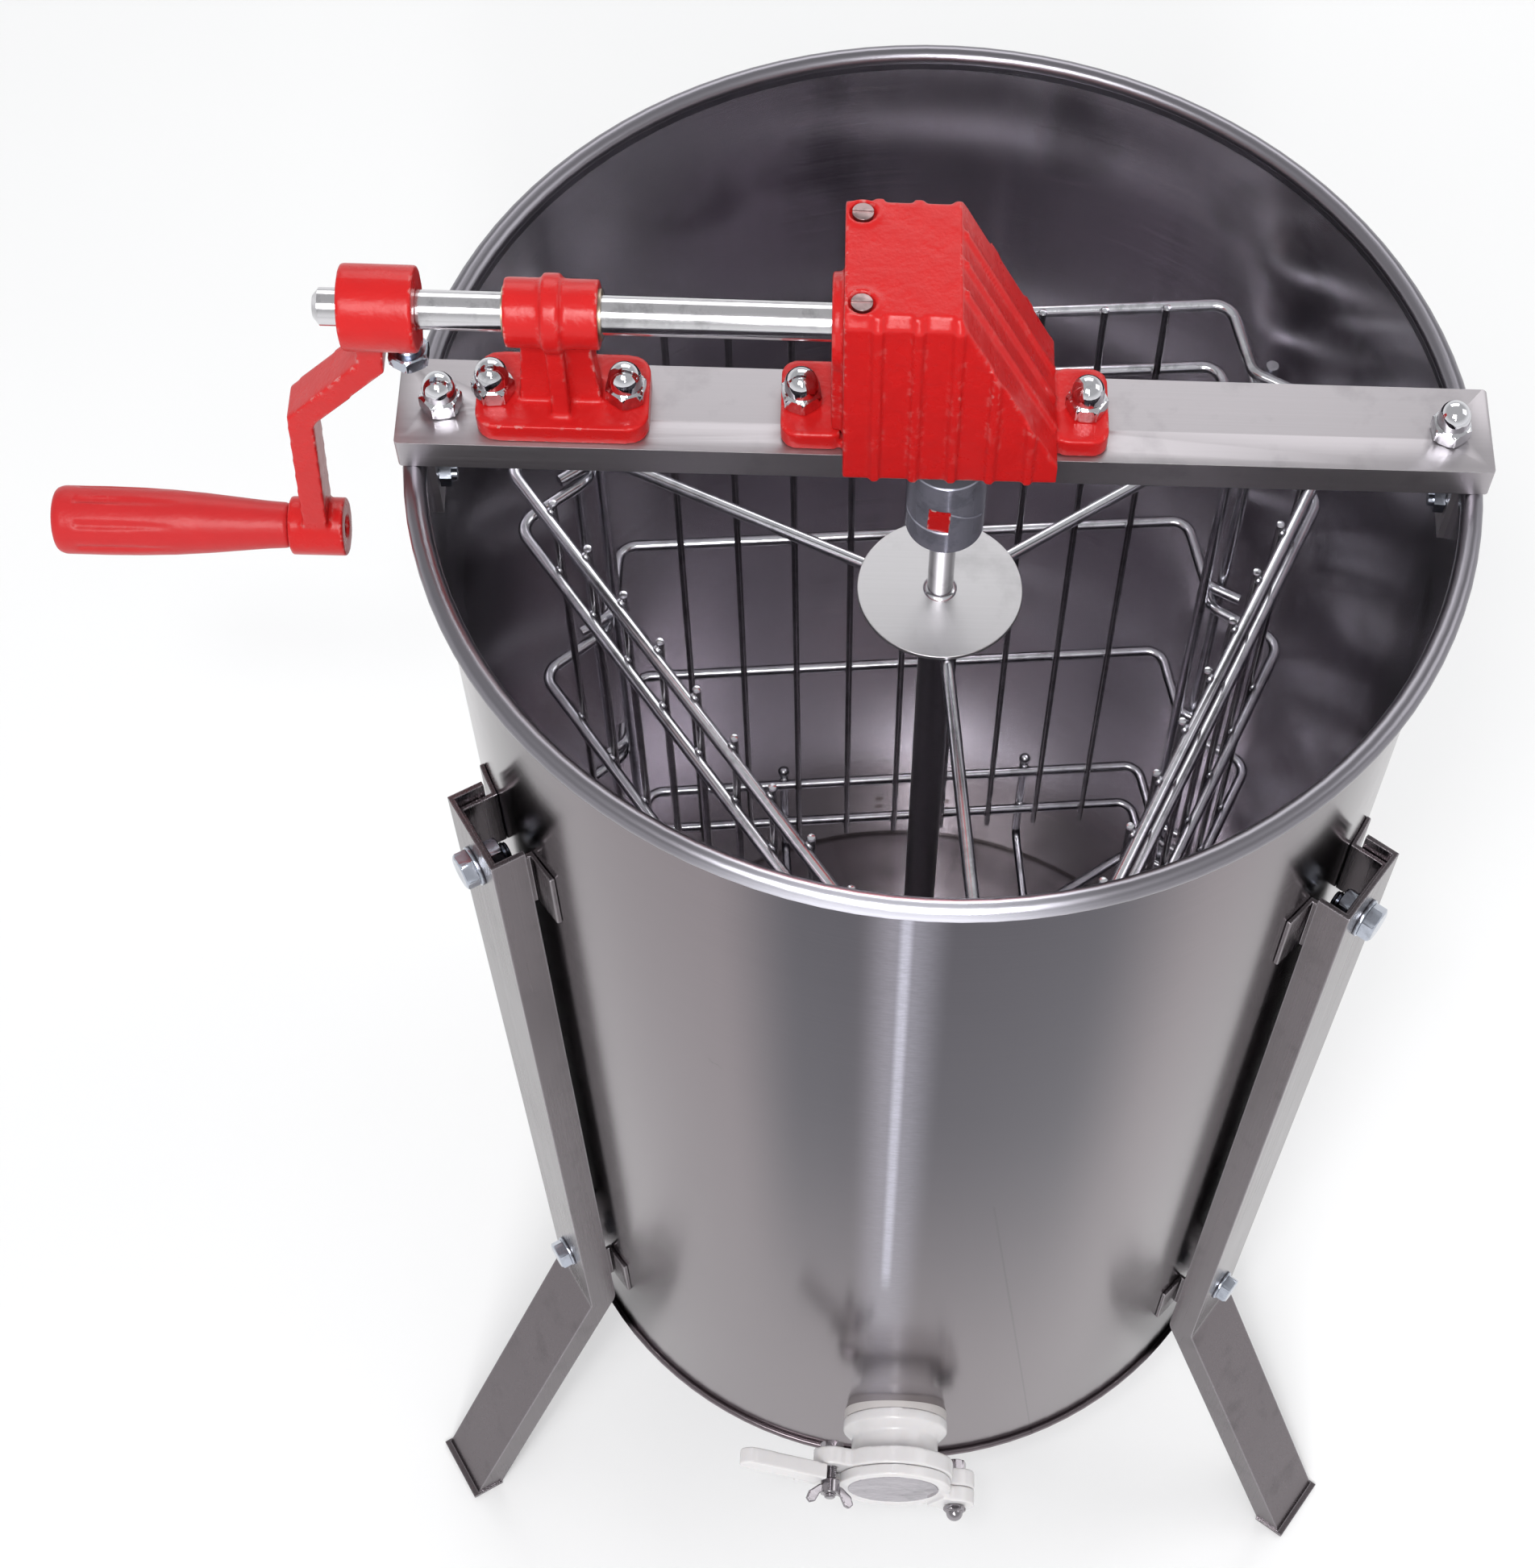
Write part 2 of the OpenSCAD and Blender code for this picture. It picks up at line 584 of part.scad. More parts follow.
module centre_tube() color("gray") difference() {
    translate([0, 0, hem_z + 72]) cylinder(h = disc_z - hem_z - 72, r = tube_r);
    translate([0, 0, hem_z + 71]) cylinder(h = disc_z - hem_z - 71 - 3, r = tube_bore_r);
}

module pivot_pin() color("silver") union() {
    translate([0, 0, cup_z + 13.1]) cylinder(h = 60, r = tube_bore_r);
    translate([0, 0, hem_z + 66]) cylinder(h = 6, r = tube_r + 1.5);
}

module spokes() color("silver") for (a = corners, z = [disc_z - spoke_r, hem_z + 193])
    translate([0, 0, z]) rotate([0, 90, a]) translate([0, 0, tube_r])
        cylinder(h = corner_r - post_gap - post_r - tube_r, r = spoke_r);

module posts(r, z0, z1) color("silver") for (a = corners)
    rotate([0, 0, a]) translate([r, 0, z0]) cylinder(h = z1 - z0, r = post_r);

module inner_posts() posts(corner_r - post_gap, hem_z + 150, disc_z + 2);

module outer_posts() posts(corner_r + post_gap, hem_z + 150, hem_z + level_h[5] + 8);

module post_caps() color("black") for (a = corners) rotate([0, 0, a])
    translate([corner_r - post_gap, 0, disc_z + 2.02]) {
        cylinder(h = 3, r = 4);
        translate([0, 0, 3 - e]) cylinder(h = 1.5 + e, r1 = 4, r2 = 3);
    }

// Turns a shape from the side of +Y to basket number i
module basket_place(i) {
    rotate([0, 0, basket_az[i] - 90 + rotor_phase]) children();
}

// The six bent rails of basket number i
module rails(i) color("silver") basket_place(i) for (h = level_h)
    translate([0, 0, hem_z + h + level_step[i]])
        bent_rod([[-flare[0][0], flare[0][1]], [-flare[1][0], flare[1][1]],
            [-basket_half_w, basket_r], [basket_half_w, basket_r], flare[1], flare[0]], 9, rail_d);

// The nine upright wires of basket number i, inside its rails
module wires(i) color("silver") basket_place(i) for (k = [-4 : 4])
    translate([k * wire_pitch, basket_r - rail_d / 2 - wire_d / 2, hem_z + level_h[0] + level_step[i] - 7])
        cylinder(h = level_h[5] - level_h[0] + 11.5, d = wire_d);

// Two bent rods under each basket that carry a frame's lower end
module frame_rests() color("silver") for (i = [0 : 2], x = [-57, 68]) basket_place(i)
    translate([x, 0, hem_z]) rotate([90, 0, 90])
        bent_rod([[60, 146], [60, 132], [basket_r + rail_d / 2 + 2.25, 132],
            [basket_r + rail_d / 2 + 2.25, 208]], 7, 4.5);

// ---------- bottom bearing ----------

cup_z = floor_z + floor_rise;
module pivot_cup() color("white") difference() {
    translate([0, 0, cup_z]) cylinder(h = 28, r = 15);
    translate([0, 0, cup_z + 3]) cylinder(h = 40, r = tube_bore_r + fit_gap);
    // underside that follows the floor's cone
    translate([0, 0, cup_z - 1]) rotate_extrude()
        polygon([[0, 0], [20, 0], [20, 1 - 20 * floor_rise / inner_r], [0, 1]]);
}

module pivot_ball() color("silver") translate([0, 0, cup_z + 3 + 5]) sphere(r = 5);

// ---------- legs ----------

leg_t = 2;                       // sheet of the channels and of their brackets
leg_face = drum_r + 17.5;        // distance from the axis to the outside of a leg's web
leg_depth = 14;
leg_top = hem_z + 522;
leg_bend_z = hem_z + 45;
hat_half = leg_w / 2 - leg_t - 0.1;

splay = atan((foot_r - 2 - leg_face) / leg_bend_z);
bend_r = 8;
// The outside of a leg's web in the XZ plane, from its top to under the floor
leg_path = concat([[leg_face, leg_top]],
    [for (k = [0 : 4]) let (a = splay * k / 4, z = leg_bend_z + bend_r * tan(splay / 2))
        [leg_face + bend_r * (1 - cos(a)), z - bend_r * sin(a)]],
    [[leg_face + (leg_bend_z + 20) * tan(splay), -20]]);

// A leg: an upright channel, open towards the drum, a bend, and a splayed stretch on a small foot
module leg(az) color("silver") rotate([0, 0, az]) {
    difference() {
        union() {
            difference() {
                across(leg_w / 2) polygon(band(leg_path, -leg_depth, 0));
                across(leg_w / 2 - leg_t) polygon(concat(
                    [[leg_face - leg_t, leg_top + 5], [leg_face - leg_depth - 5, leg_top + 5]],
                    [for (i = [0 : 6]) leg_path[i] - (leg_depth + 5) * mitre(leg_path, i)],
                    [for (i = [6 : -1 : 0]) leg_path[i] - leg_t * mitre(leg_path, i)]));
            }
            translate([foot_r - 18, -leg_w / 2 - 1.2, 0]) cube([18, leg_w + 2.4, 2.5]);
        }
        translate([0, -50, -80]) cube([400, 100, 80]);
        for (z = [upper_bolt_z, lower_bolt_z])
            translate([leg_face - 10, 0, z]) rotate([0, 90, 0]) cylinder(h = 20, r = 4.2);
    }
}

// A hat-shaped bracket, welded to the wall by its two curved ears
module leg_bracket() difference() {
    h = 34;
    union() {
        intersection() {
            difference() {
                cylinder(h = h, r = drum_r + leg_t, $fn = 128);
                translate([0, 0, -1]) cylinder(h = h + 2, r = drum_r, $fn = 128);
            }
            difference() {
                translate([100, -hat_half - 13, 0]) cube([120, 2 * hat_half + 26, h]);
                translate([90, -hat_half + leg_t, -1]) cube([140, 2 * (hat_half - leg_t), h + 2]);
            }
        }
        difference() {
            translate([drum_r - 0.5, -hat_half, 0]) cube([leg_face - leg_t - drum_r + 0.5, 2 * hat_half, h]);
            translate([drum_r - 10, -hat_half + leg_t, -1])
                cube([leg_face - 2 * leg_t - drum_r + 10, 2 * (hat_half - leg_t), h + 2]);
            translate([0, 0, -1]) cylinder(h = h + 2, r = drum_r, $fn = 128);
        }
    }
    translate([leg_face - 10, 0, h / 2]) rotate([0, 90, 0]) cylinder(h = 20, r = 4.2);
}

module leg_brackets() color("gainsboro") for (az = leg_az, z = [upper_bolt_z, lower_bolt_z])
    rotate([0, 0, az]) translate([0, 0, z - 17]) leg_bracket();

// Turns a shape that points to +Z so that it points at the axis from a leg's face
module leg_bolt_places() {
    for (az = leg_az, z = [upper_bolt_z, lower_bolt_z])
        rotate([0, 0, az]) translate([leg_face, 0, z]) rotate([0, -90, 0]) children();
}

module leg_washers() color("lightsteelblue") leg_bolt_places() translate([0, 0, -1.6]) washer(4.2, 8, 1.6);

module leg_bolts() color("lightsteelblue") leg_bolt_places() translate([0, 0, -1.6]) union() {
    translate([0, 0, -5]) hex(13, 5);
    translate([0, 0, -e]) cylinder(h = 15 + e, r = 4);
}

module leg_nuts() color("lightsteelblue") leg_bolt_places() translate([0, 0, 2 * leg_t]) hex_nut(4, 13, 6.4);

// ---------- honey gate ----------

gate_neck_r = 22;
gate_bore_r = 19;
lug_x = 36;
plate_z = 24;                    // the valve body's plate, measured out from the wall
plate_t = 9;
blade_z = plate_z + plate_t + 0.3;
blade_t = 5.5;
lever_t = 8;                     // the lever and the pivot's ear are thicker than the blade

// The gate's frame: +Z away from the drum along the gate's axis, +X to the right
module gate_frame() {
    rotate([0, 0, front_az + 90]) translate([0, -drum_r, hem_z + gate_h]) rotate([90, 0, 0]) children();
}

module tilted_gate() gate_frame() rotate([0, 0, -gate_tilt]) children();

module gate_body() color("ivory") tilted_gate() difference() {
    union() {
        translate([0, 0, -10]) cylinder(h = plate_z + 11, r = gate_neck_r);
        translate([0, 0, 3.3]) cylinder(h = 5.4, r = 26.5);
        translate([0, 0, 8.7]) cylinder(h = 5, r1 = 26.5, r2 = gate_neck_r - 0.5);
        translate([0, 0, plate_z]) cylinder(h = plate_t, r = 30);
        translate([-lug_x, -8.5, plate_z]) cube([2 * lug_x, 17, plate_t]);
        translate([-lug_x, 0, plate_z]) cylinder(h = plate_t, r = 9);
        translate([lug_x, 0, plate_z]) cylinder(h = plate_t, r = 10);
    }
    translate([0, 0, -11]) cylinder(h = plate_z + plate_t + 12, r = gate_bore_r);
    for (x = [-lug_x, lug_x]) translate([x, 0, plate_z - 1]) cylinder(h = plate_t + 2, r = 3.2);
}

// The seal between the flat flange and the round wall
module gate_gasket() color("dimgray") difference() {
    gate_frame() translate([0, 0, -4]) difference() {
        cylinder(h = 7.3, r = 26);
        translate([0, 0, -1]) cylinder(h = 9, r = gate_neck_r);
    }
    cylinder(h = 2 * hem_z + drum_h, r = drum_r, $fn = 128);
}

module gate_lock_nut() color("ivory") gate_frame() translate([0, 0, -9.4]) difference() {
    cylinder(h = 6, r = 27.5, $fn = 8);
    translate([0, 0, -1]) cylinder(h = 8, r = gate_neck_r);
}

module gate_clamp_bolt() color("silver") tilted_gate() translate([-lug_x, 0, plate_z]) hex_bolt(3, 10, 4, 24.5);

module gate_pivot_bolt() color("silver") tilted_gate() translate([lug_x, 0, plate_z])
    hex_bolt(3, 10, 6, 22.5);

module gate_pivot_nut() color("whitesmoke") tilted_gate()
    translate([lug_x, 0, blade_z + lever_t + 0.2]) acorn_nut(3, 10, 3, 0.4, 4.3);

// The swinging blade: a disc with a pivot ear, and a lever joined to it below the clamp bolt,
// so that the slot round the bolt is open at its top and the blade swings down
module gate_blade() color("ivory") tilted_gate() translate([0, 0, blade_z]) difference() {
    union() {
        cylinder(h = blade_t, r = 29);
        translate([0, -8.5, 0]) cube([lug_x, 17, blade_t]);
        translate([24.5, -8.5, 0]) cube([lug_x - 24.5, 17, lever_t]);
        translate([lug_x, 0, 0]) cylinder(h = lever_t, r = 10);
        translate([-50, -13.6, 0]) cube([34, 8.6, blade_t]);
        translate([-50, -13.6, 0]) cube([8.4, 16, blade_t]);
        translate([-42.2, 2, 0]) rotate([0, 0, 173]) translate([0, -5.5, 0]) union() {
            cube([42, 11, lever_t]);
            translate([42, 5.5, 0]) cylinder(h = lever_t, r = 5.4);
        }
    }
    translate([0, 0, blade_t - 1]) cylinder(h = 3, r = 23);
    translate([lug_x, 0, -1]) cylinder(h = lever_t + 2, r = 3 + fit_gap);
    translate([-lug_x, 0, -1]) cylinder(h = lever_t + 2, r = 5.7);
    translate([-lug_x - 5.7, 0, -1]) cube([9, 30, lever_t + 2]);
}

module gate_insert() color("gainsboro") tilted_gate() translate([0, 0, blade_z + blade_t - 1])
    cylinder(h = 0.8, r = 22.9);

wing_z = blade_z + blade_t + 0.6;
module gate_wing_nut() color("silver") tilted_gate() translate([-lug_x, 0, wing_z]) difference() {
    union() {
        cylinder(h = 7, r = 4.8);
        for (s = [0, 180]) rotate([0, 0, s]) rotate([90, 0, 0]) translate([0, 0, -1.1])
            linear_extrude(height = 2.2) polygon([[3.6, 0.6], [5, 2.6], [6.5, 3], [11.5, 6.8], [13, 10.8],
                [11, 12.8], [8.5, 12], [6, 7.5], [3.6, 6.4]]);
    }
    translate([0, 0, -1]) cylinder(h = 20, r = 3 + fit_gap);
}

// ---------- build ----------

drum_shell();
drum_floor();
cross_bar();
bar_brackets();
bracket_screws();
bracket_nuts();
bar_bolts();
acorn_nuts();
gearbox_housing();
gearbox_cover();
gearbox_screws();
cover_bush();
pinion_bush();
pillow_block();
pillow_bush();
leg(leg_az[0]);  // leg_left
leg(leg_az[1]);  // leg_right
leg(leg_az[2]);  // leg_back
leg_brackets();
leg_bolts();
leg_washers();
leg_nuts();
pivot_cup();
pivot_ball();
gate_body();
gate_gasket();
gate_lock_nut();
gate_clamp_bolt();
gate_pivot_bolt();
gate_pivot_nut();
gate_blade();
gate_insert();
gate_wing_nut();
crank_shaft();
crank_arm();
crank_set_bolt();
crank_gear();
grip_pin();
crank_grip();
pinion();
pinion_shaft();
clutch_upper();
clutch_screws();
clutch_lower();
drive_dog();
rotor_shaft();
hub_disc();
centre_tube();
pivot_pin();
spokes();
inner_posts();
outer_posts();
post_caps();
frame_rests();
rails(0);  // rails_back
rails(1);  // rails_right
rails(2);  // rails_left
wires(0);  // wires_back
wires(1);  // wires_right
wires(2);  // wires_left
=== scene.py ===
"""The looks of a hand-cranked honey extractor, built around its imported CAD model. Metres, +Z up."""
import json
import math

import bmesh
import bpy
from mathutils import Matrix, Vector


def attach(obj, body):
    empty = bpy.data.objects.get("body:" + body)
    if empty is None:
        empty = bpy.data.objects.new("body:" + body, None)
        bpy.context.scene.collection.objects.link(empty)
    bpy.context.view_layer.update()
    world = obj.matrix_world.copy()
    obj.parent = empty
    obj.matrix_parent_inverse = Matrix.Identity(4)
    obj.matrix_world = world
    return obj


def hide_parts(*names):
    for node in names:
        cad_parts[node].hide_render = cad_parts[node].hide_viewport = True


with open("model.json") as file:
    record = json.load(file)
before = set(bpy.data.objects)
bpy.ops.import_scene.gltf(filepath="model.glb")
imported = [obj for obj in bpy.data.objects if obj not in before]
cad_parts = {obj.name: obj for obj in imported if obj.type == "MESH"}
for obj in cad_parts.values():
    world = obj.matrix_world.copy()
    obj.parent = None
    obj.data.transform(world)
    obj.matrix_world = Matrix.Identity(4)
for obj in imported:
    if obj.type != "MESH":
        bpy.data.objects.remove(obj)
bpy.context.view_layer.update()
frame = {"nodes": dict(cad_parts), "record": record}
nodes = frame["nodes"]


# ---------------------------------------------------------------- camera

def look(yaw, pitch, roll):
    """A camera's turn: yaw to the right of +Y, pitch down, roll about its own line of sight, in degrees."""
    y, p, r = (math.radians(v) for v in (yaw, pitch, roll))
    ahead = Vector((math.sin(y) * math.cos(p), math.cos(y) * math.cos(p), -math.sin(p)))
    right = Vector((math.cos(y), -math.sin(y), 0))
    up = right.cross(ahead)
    x = right * math.cos(r) + up * math.sin(r)
    z = -ahead
    return Matrix((x, z.cross(x), z)).transposed()


camera = bpy.data.objects.new("camera", bpy.data.cameras.new("camera"))
bpy.context.collection.objects.link(camera)
camera.location = (-0.0351, -0.5924, 1.5369)
camera.rotation_mode = "QUATERNION"
camera.rotation_quaternion = look(yaw=8.05, pitch=62.98, roll=8.04).to_quaternion()
camera.data.lens = 60.94
camera.data.shift_x, camera.data.shift_y = -0.1562, 0.1169
camera.data.clip_start, camera.data.clip_end = 0.05, 50
bpy.context.scene.camera = camera


# ---------------------------------------------------------------- materials

# Places on the drum: turns around its axis in degrees from +X, the rest in metres.
PAINTED_STREAK_TURN = -94.4                  # turn of the painted highlight streak
LEG_SHADOWS = (-147.0, -38.0)   # turns of the painted shade next to the front legs
WALL_MIDDLE = 0.1844            # a radius between the wall's two faces
FLOOR_SEAM = 0.1750             # height of the weld around the floor
BEAD_LOW = 0.7725               # height where the bead at the mouth begins
SCRATCH_TOP = 0.503             # height of the scratch's upper end
SCRATCH_TURN = -80.9            # turn of that end
SCRATCH_SLANT = 36.7            # how far the scratch turns per metre on its way down
BURN_TURNS = (83.0, 95.0)       # spot welds of the third leg's lower bracket
BURN_HEIGHTS = (0.2140, 0.2055)


class Graph:
    """A material's nodes, made a line at a time."""

    def __init__(self, name, color, rough, metal=0.0, **sockets):
        self.material = bpy.data.materials.new(name)
        self.material.use_nodes = True
        self.tree = self.material.node_tree
        self.shader = self.tree.nodes["Principled BSDF"]
        self.set(self.shader, {"Base Color": color, "Roughness": rough, "Metallic": metal, **sockets})

    def set(self, node, values):
        for key, value in values.items():
            socket = node.inputs[key]
            if isinstance(value, bpy.types.NodeSocket):
                self.tree.links.new(value, socket)
            elif isinstance(value, (tuple, list)) and len(value) == 3 and socket.type == "RGBA":
                socket.default_value = (*value, 1)
            else:
                socket.default_value = value

    def add(self, kind, values=(), out=0, **settings):
        node = self.tree.nodes.new("ShaderNode" + kind)
        for key, value in settings.items():
            setattr(node, key, value)
        self.set(node, dict(values))
        return node.outputs[out]

    def math(self, operation, *values, clamp=False):
        return self.add("Math", dict(enumerate(values)), operation=operation, use_clamp=clamp)

    def where(self):
        return self.add("TexCoord", out=3)

    def scaled(self, vector, x, y, z):
        return self.add("Mapping", {"Vector": vector, "Scale": (x, y, z)})

    def noise(self, vector, scale, detail=2.0, rough=0.5, **more):
        values = {"Vector": vector, "Scale": scale, "Detail": detail, "Roughness": rough, **more}
        return self.add("TexNoise", values)

    def ramp(self, value, *stops):
        out = self.add("ValToRGB", {"Fac": value})
        bar = out.node.color_ramp
        while len(bar.elements) < len(stops):
            bar.elements.new(0.5)
        for element, (place, shade) in zip(bar.elements, stops):
            element.position = place
            element.color = (*shade, 1) if isinstance(shade, (tuple, list)) else (shade, shade, shade, 1)
        return out

    def mix(self, factor, a, b, blend="MIX"):
        node = self.tree.nodes.new("ShaderNodeMix")
        node.data_type, node.blend_type = "RGBA", blend
        self.set(node, {0: factor, 6: a, 7: b})
        return node.outputs[2]

    def bump(self, height, strength, distance, normal=None):
        values = {"Height": height, "Strength": strength, "Distance": distance}
        if normal is not None:
            values["Normal"] = normal
        return self.add("Bump", values)

    def use(self, **sockets):
        self.set(self.shader, {key.replace("_", " "): value for key, value in sockets.items()})
        return self.material


def between(g, value, low, high):
    """A 0..1 value stretched to low..high."""
    return g.add("MapRange", {0: value, 3: low, 4: high})


def around_axis(g):
    """Sockets that unroll a drum: turn around Z in degrees, radius, height."""
    x, y, z = (g.add("SeparateXYZ", {"Vector": g.where()}, out=k) for k in range(3))
    turn = g.math("MULTIPLY", g.math("ARCTAN2", y, x), 180 / math.pi)
    radius = g.math("POWER", g.math("ADD", g.math("MULTIPLY", x, x), g.math("MULTIPLY", y, y)), 0.5)
    return turn, radius, z


def band(g, value, middle, half, soft):
    """1 where the value is within half of middle, falling to 0 over soft."""
    off = g.math("ABSOLUTE", g.math("SUBTRACT", value, middle))
    fall = {0: off, 1: half, 2: half + soft, 3: 1.0, 4: 0.0}
    return g.add("MapRange", fall, interpolation_type="SMOOTHSTEP")


def gray(g, value):
    """A shade from one value, for multiplying a color."""
    return g.add("CombineXYZ", {"X": value, "Y": value, "Z": value})


def drum_outside(g, turn, z, dots):
    """The wall's outside: dull, with a painted highlight streak, painted darker reflections beside it and
    painted shade next to the front legs.
    """
    # Painted reflection: two darker zones beside the streak, where the wall mirrors dark surroundings, fading
    # out lower down.
    high = g.add("MapRange", {0: z, 1: 0.24, 2: 0.62, 3: 0.0, 4: 1.0}, interpolation_type="SMOOTHSTEP")
    dark = g.math("MAXIMUM", band(g, turn, -103.0, 2.0, 11.0), band(g, turn, -82.0, 7.0, 16.0))
    shade = g.mix(g.math("MULTIPLY", dark, high), (0.187, 0.158, 0.171, 1), (0.068, 0.062, 0.077, 1))
    # Painted shade next to each front leg.
    left, right = band(g, turn, LEG_SHADOWS[0], 2.0, 13.0), band(g, turn, LEG_SHADOWS[1], 3.0, 17.0)
    legs = g.math("MAXIMUM", left, right)
    shade = g.mix(g.math("MULTIPLY", legs, 0.45), shade, (0.02, 0.018, 0.02, 1))
    # Painted highlight: a lamp's streak down the wall, a thin bright line on the upper wall inside a soft
    # halo.
    above = g.add("MapRange", {0: z, 1: 0.40, 2: 0.43})
    line = g.math("MULTIPLY", band(g, turn, PAINTED_STREAK_TURN, 0.15, 0.80), above)
    painted_halo = g.math("MULTIPLY", band(g, turn, PAINTED_STREAK_TURN, 0.3, 5.0), 0.34)
    glow = g.math("ADD", g.math("MULTIPLY", line, 0.57), painted_halo)
    glow = g.math("MULTIPLY", glow, between(g, dots, 0.45, 1.45), clamp=True)
    return g.mix(glow, shade, (0.54, 0.53, 0.62, 1))


def drum_inside(g, arc, turn, z, outside, smear):
    """The wall's inside: painted lighter near the mouth, where light falls in, and smudged there, with a dark
    weld along the floor and four spot welds.
    """
    # Near the mouth: dark smudges, and the wall painted lighter where light falls in through the mouth.
    top = g.add("MapRange", {0: z, 1: 0.60, 2: 0.70})
    blotch = g.ramp(g.noise(g.scaled(arc, 14, 1, 13), 1.0, 2.0, 0.4), (0.34, 0.62), (0.42, 1.0))
    mouth = g.mix(1.0, blotch, (1.22, 1.22, 1.22, 1), "MULTIPLY")
    shade = g.mix(1.0, (0.66, 0.63, 0.675, 1), gray(g, between(g, smear, 0.86, 1.12)), "MULTIPLY")
    shade = g.mix(1.0, shade, g.mix(top, (1, 1, 1, 1), mouth), "MULTIPLY")
    inside = g.math("SUBTRACT", 1.0, outside)
    weld = g.math("MULTIPLY", band(g, z, FLOOR_SEAM, 0.0011, 0.0014), inside)
    shade = g.mix(g.math("MULTIPLY", weld, between(g, smear, 0.3, 1.1)), shade, (0.055, 0.04, 0.035, 1))
    columns = [band(g, turn, middle, 0.3, 0.6) for middle in BURN_TURNS]
    upper = band(g, z, BURN_HEIGHTS[0], 0.0012, 0.0018)
    lower = band(g, z, BURN_HEIGHTS[1], 0.0010, 0.0018)
    burns = g.math("MULTIPLY", g.math("MAXIMUM", *columns), g.math("MAXIMUM", upper, lower))
    burns = g.math("MULTIPLY", burns, inside)
    return g.mix(g.math("MULTIPLY", burns, 0.6), shade, (0.16, 0.10, 0.085, 1))


def drum_steel():
    """Sheet brushed around the drum, with a satin bead at its mouth that carries a painted highlight at the
    front, and a hairline scratch down the wall.
    """
    g = Graph("drum_steel", (0.3, 0.3, 0.3), 0.25, 1.0)
    turn, radius, z = around_axis(g)
    arc = g.add("CombineXYZ", {"X": g.math("MULTIPLY", turn, 0.0032), "Y": radius, "Z": z})
    fine = g.noise(g.scaled(arc, 8, 1, 1500), 1.0, 3.0)
    dots = g.noise(g.scaled(arc, 220, 1, 900), 1.0, 4.0, 0.7)
    cloud = g.noise(g.scaled(arc, 3.5, 1, 2.2), 1.0, 3.0)
    smear = g.noise(g.scaled(arc, 14, 1, 5), 1.0, 5.0, 0.6)
    outside = g.math("GREATER_THAN", radius, WALL_MIDDLE)
    bead = g.add("MapRange", {0: z, 1: BEAD_LOW, 2: BEAD_LOW + 0.0007, 3: 0.0, 4: 1.0})
    inner = drum_inside(g, arc, turn, z, outside, smear)
    shade = g.mix(outside, inner, drum_outside(g, turn, z, dots))
    tone = g.math("MULTIPLY", between(g, fine, 0.90, 1.09), between(g, cloud, 0.93, 1.07))
    shade = g.mix(1.0, shade, gray(g, tone), "MULTIPLY")
    # Painted highlight on the bead's front, under the lamp; elsewhere the bead keeps its darker satin colour.
    front = band(g, turn, -96.0, 4.0, 20.0)
    shade = g.mix(bead, shade, g.mix(front, (0.235, 0.225, 0.25, 1), (0.85, 0.84, 0.93, 1)))
    lean = g.math("MULTIPLY", g.math("SUBTRACT", SCRATCH_TOP, z), SCRATCH_SLANT)
    scratch = band(g, g.math("SUBTRACT", turn, lean), SCRATCH_TURN, 0.07, 0.14)
    scratch = g.math("MULTIPLY", scratch, g.math("LESS_THAN", z, SCRATCH_TOP))
    shade = g.mix(g.math("MULTIPLY", scratch, 0.35), shade, (0.05, 0.045, 0.05, 1))
    spots = g.ramp(g.noise(g.scaled(arc, 90, 1, 90), 1.0, 3.0, 0.6), (0.22, 0.5), (0.27, 0.0))
    shade = g.mix(spots, shade, (0.10, 0.09, 0.09, 1))
    gloss = g.mix(outside, (0.19, 0.19, 0.19, 1), (0.15, 0.15, 0.15, 1))
    gloss = g.mix(bead, gloss, (0.27, 0.27, 0.27, 1))
    rough = g.math("ADD", between(g, fine, -0.03, 0.06), gloss)
    rough = g.math("ADD", rough, between(g, smear, -0.03, 0.05))
    return g.use(Base_Color=shade, Roughness=rough,
                 Normal=g.bump(fine, 0.05, 0.0002, g.bump(cloud, 0.12, 0.004)),
                 Anisotropic=0.35, Tangent=g.add("Tangent", direction_type="RADIAL", axis="Z"))


def sheet_steel(name, color, rough, along="Z", aniso=0.0, dirt=0.86, edge_highlight=0.0):
    """Brushed sheet: long scratches, stains and cloudy patches, and a painted highlight on its edges when
    asked for.
    """
    g = Graph(name, color, rough, 1.0)
    place = g.where()
    stretch = {"X": (4, 900, 900), "Y": (900, 4, 900), "Z": (900, 900, 4)}[along]
    fine = g.noise(g.scaled(place, *stretch), 1.0, 3.0)
    cloud = g.noise(place, 9.0, 4.0)
    spots = g.noise(place, 46.0, 5.0, 0.6)
    tone = g.math("MULTIPLY", between(g, fine, 0.93, 1.05), between(g, cloud, 0.90, 1.08))
    stain = g.ramp(spots, (0.30, dirt), (0.46, 1.0))
    shade = g.mix(1.0, g.mix(1.0, (*color, 1), gray(g, tone), "MULTIPLY"), stain, "MULTIPLY")
    if edge_highlight:
        # Painted highlight: a lighter colour on the rounded edges, where light catches them.
        edge = g.add("Bevel", {"Radius": 0.0012}, samples=4)
        flat = g.add("NewGeometry", out=1)
        bend = g.add("VectorMath", {0: edge, 1: flat}, out=1, operation="DOT_PRODUCT")
        bright = g.math("MULTIPLY", g.math("SUBTRACT", 1.0, bend), 6.0, clamp=True)
        shade = g.mix(g.math("MULTIPLY", bright, edge_highlight), shade, (0.60, 0.57, 0.61, 1))
    gloss = between(g, cloud, rough - 0.03, rough + 0.05)
    roughness = g.math("ADD", between(g, fine, -0.05, 0.07), gloss)
    normal = g.bump(fine, 0.10, 0.0002)
    if aniso:
        g.use(Tangent=g.add("Tangent", direction_type="RADIAL", axis=along), Anisotropic=aniso)
    return g.use(Base_Color=shade, Roughness=roughness, Normal=normal)


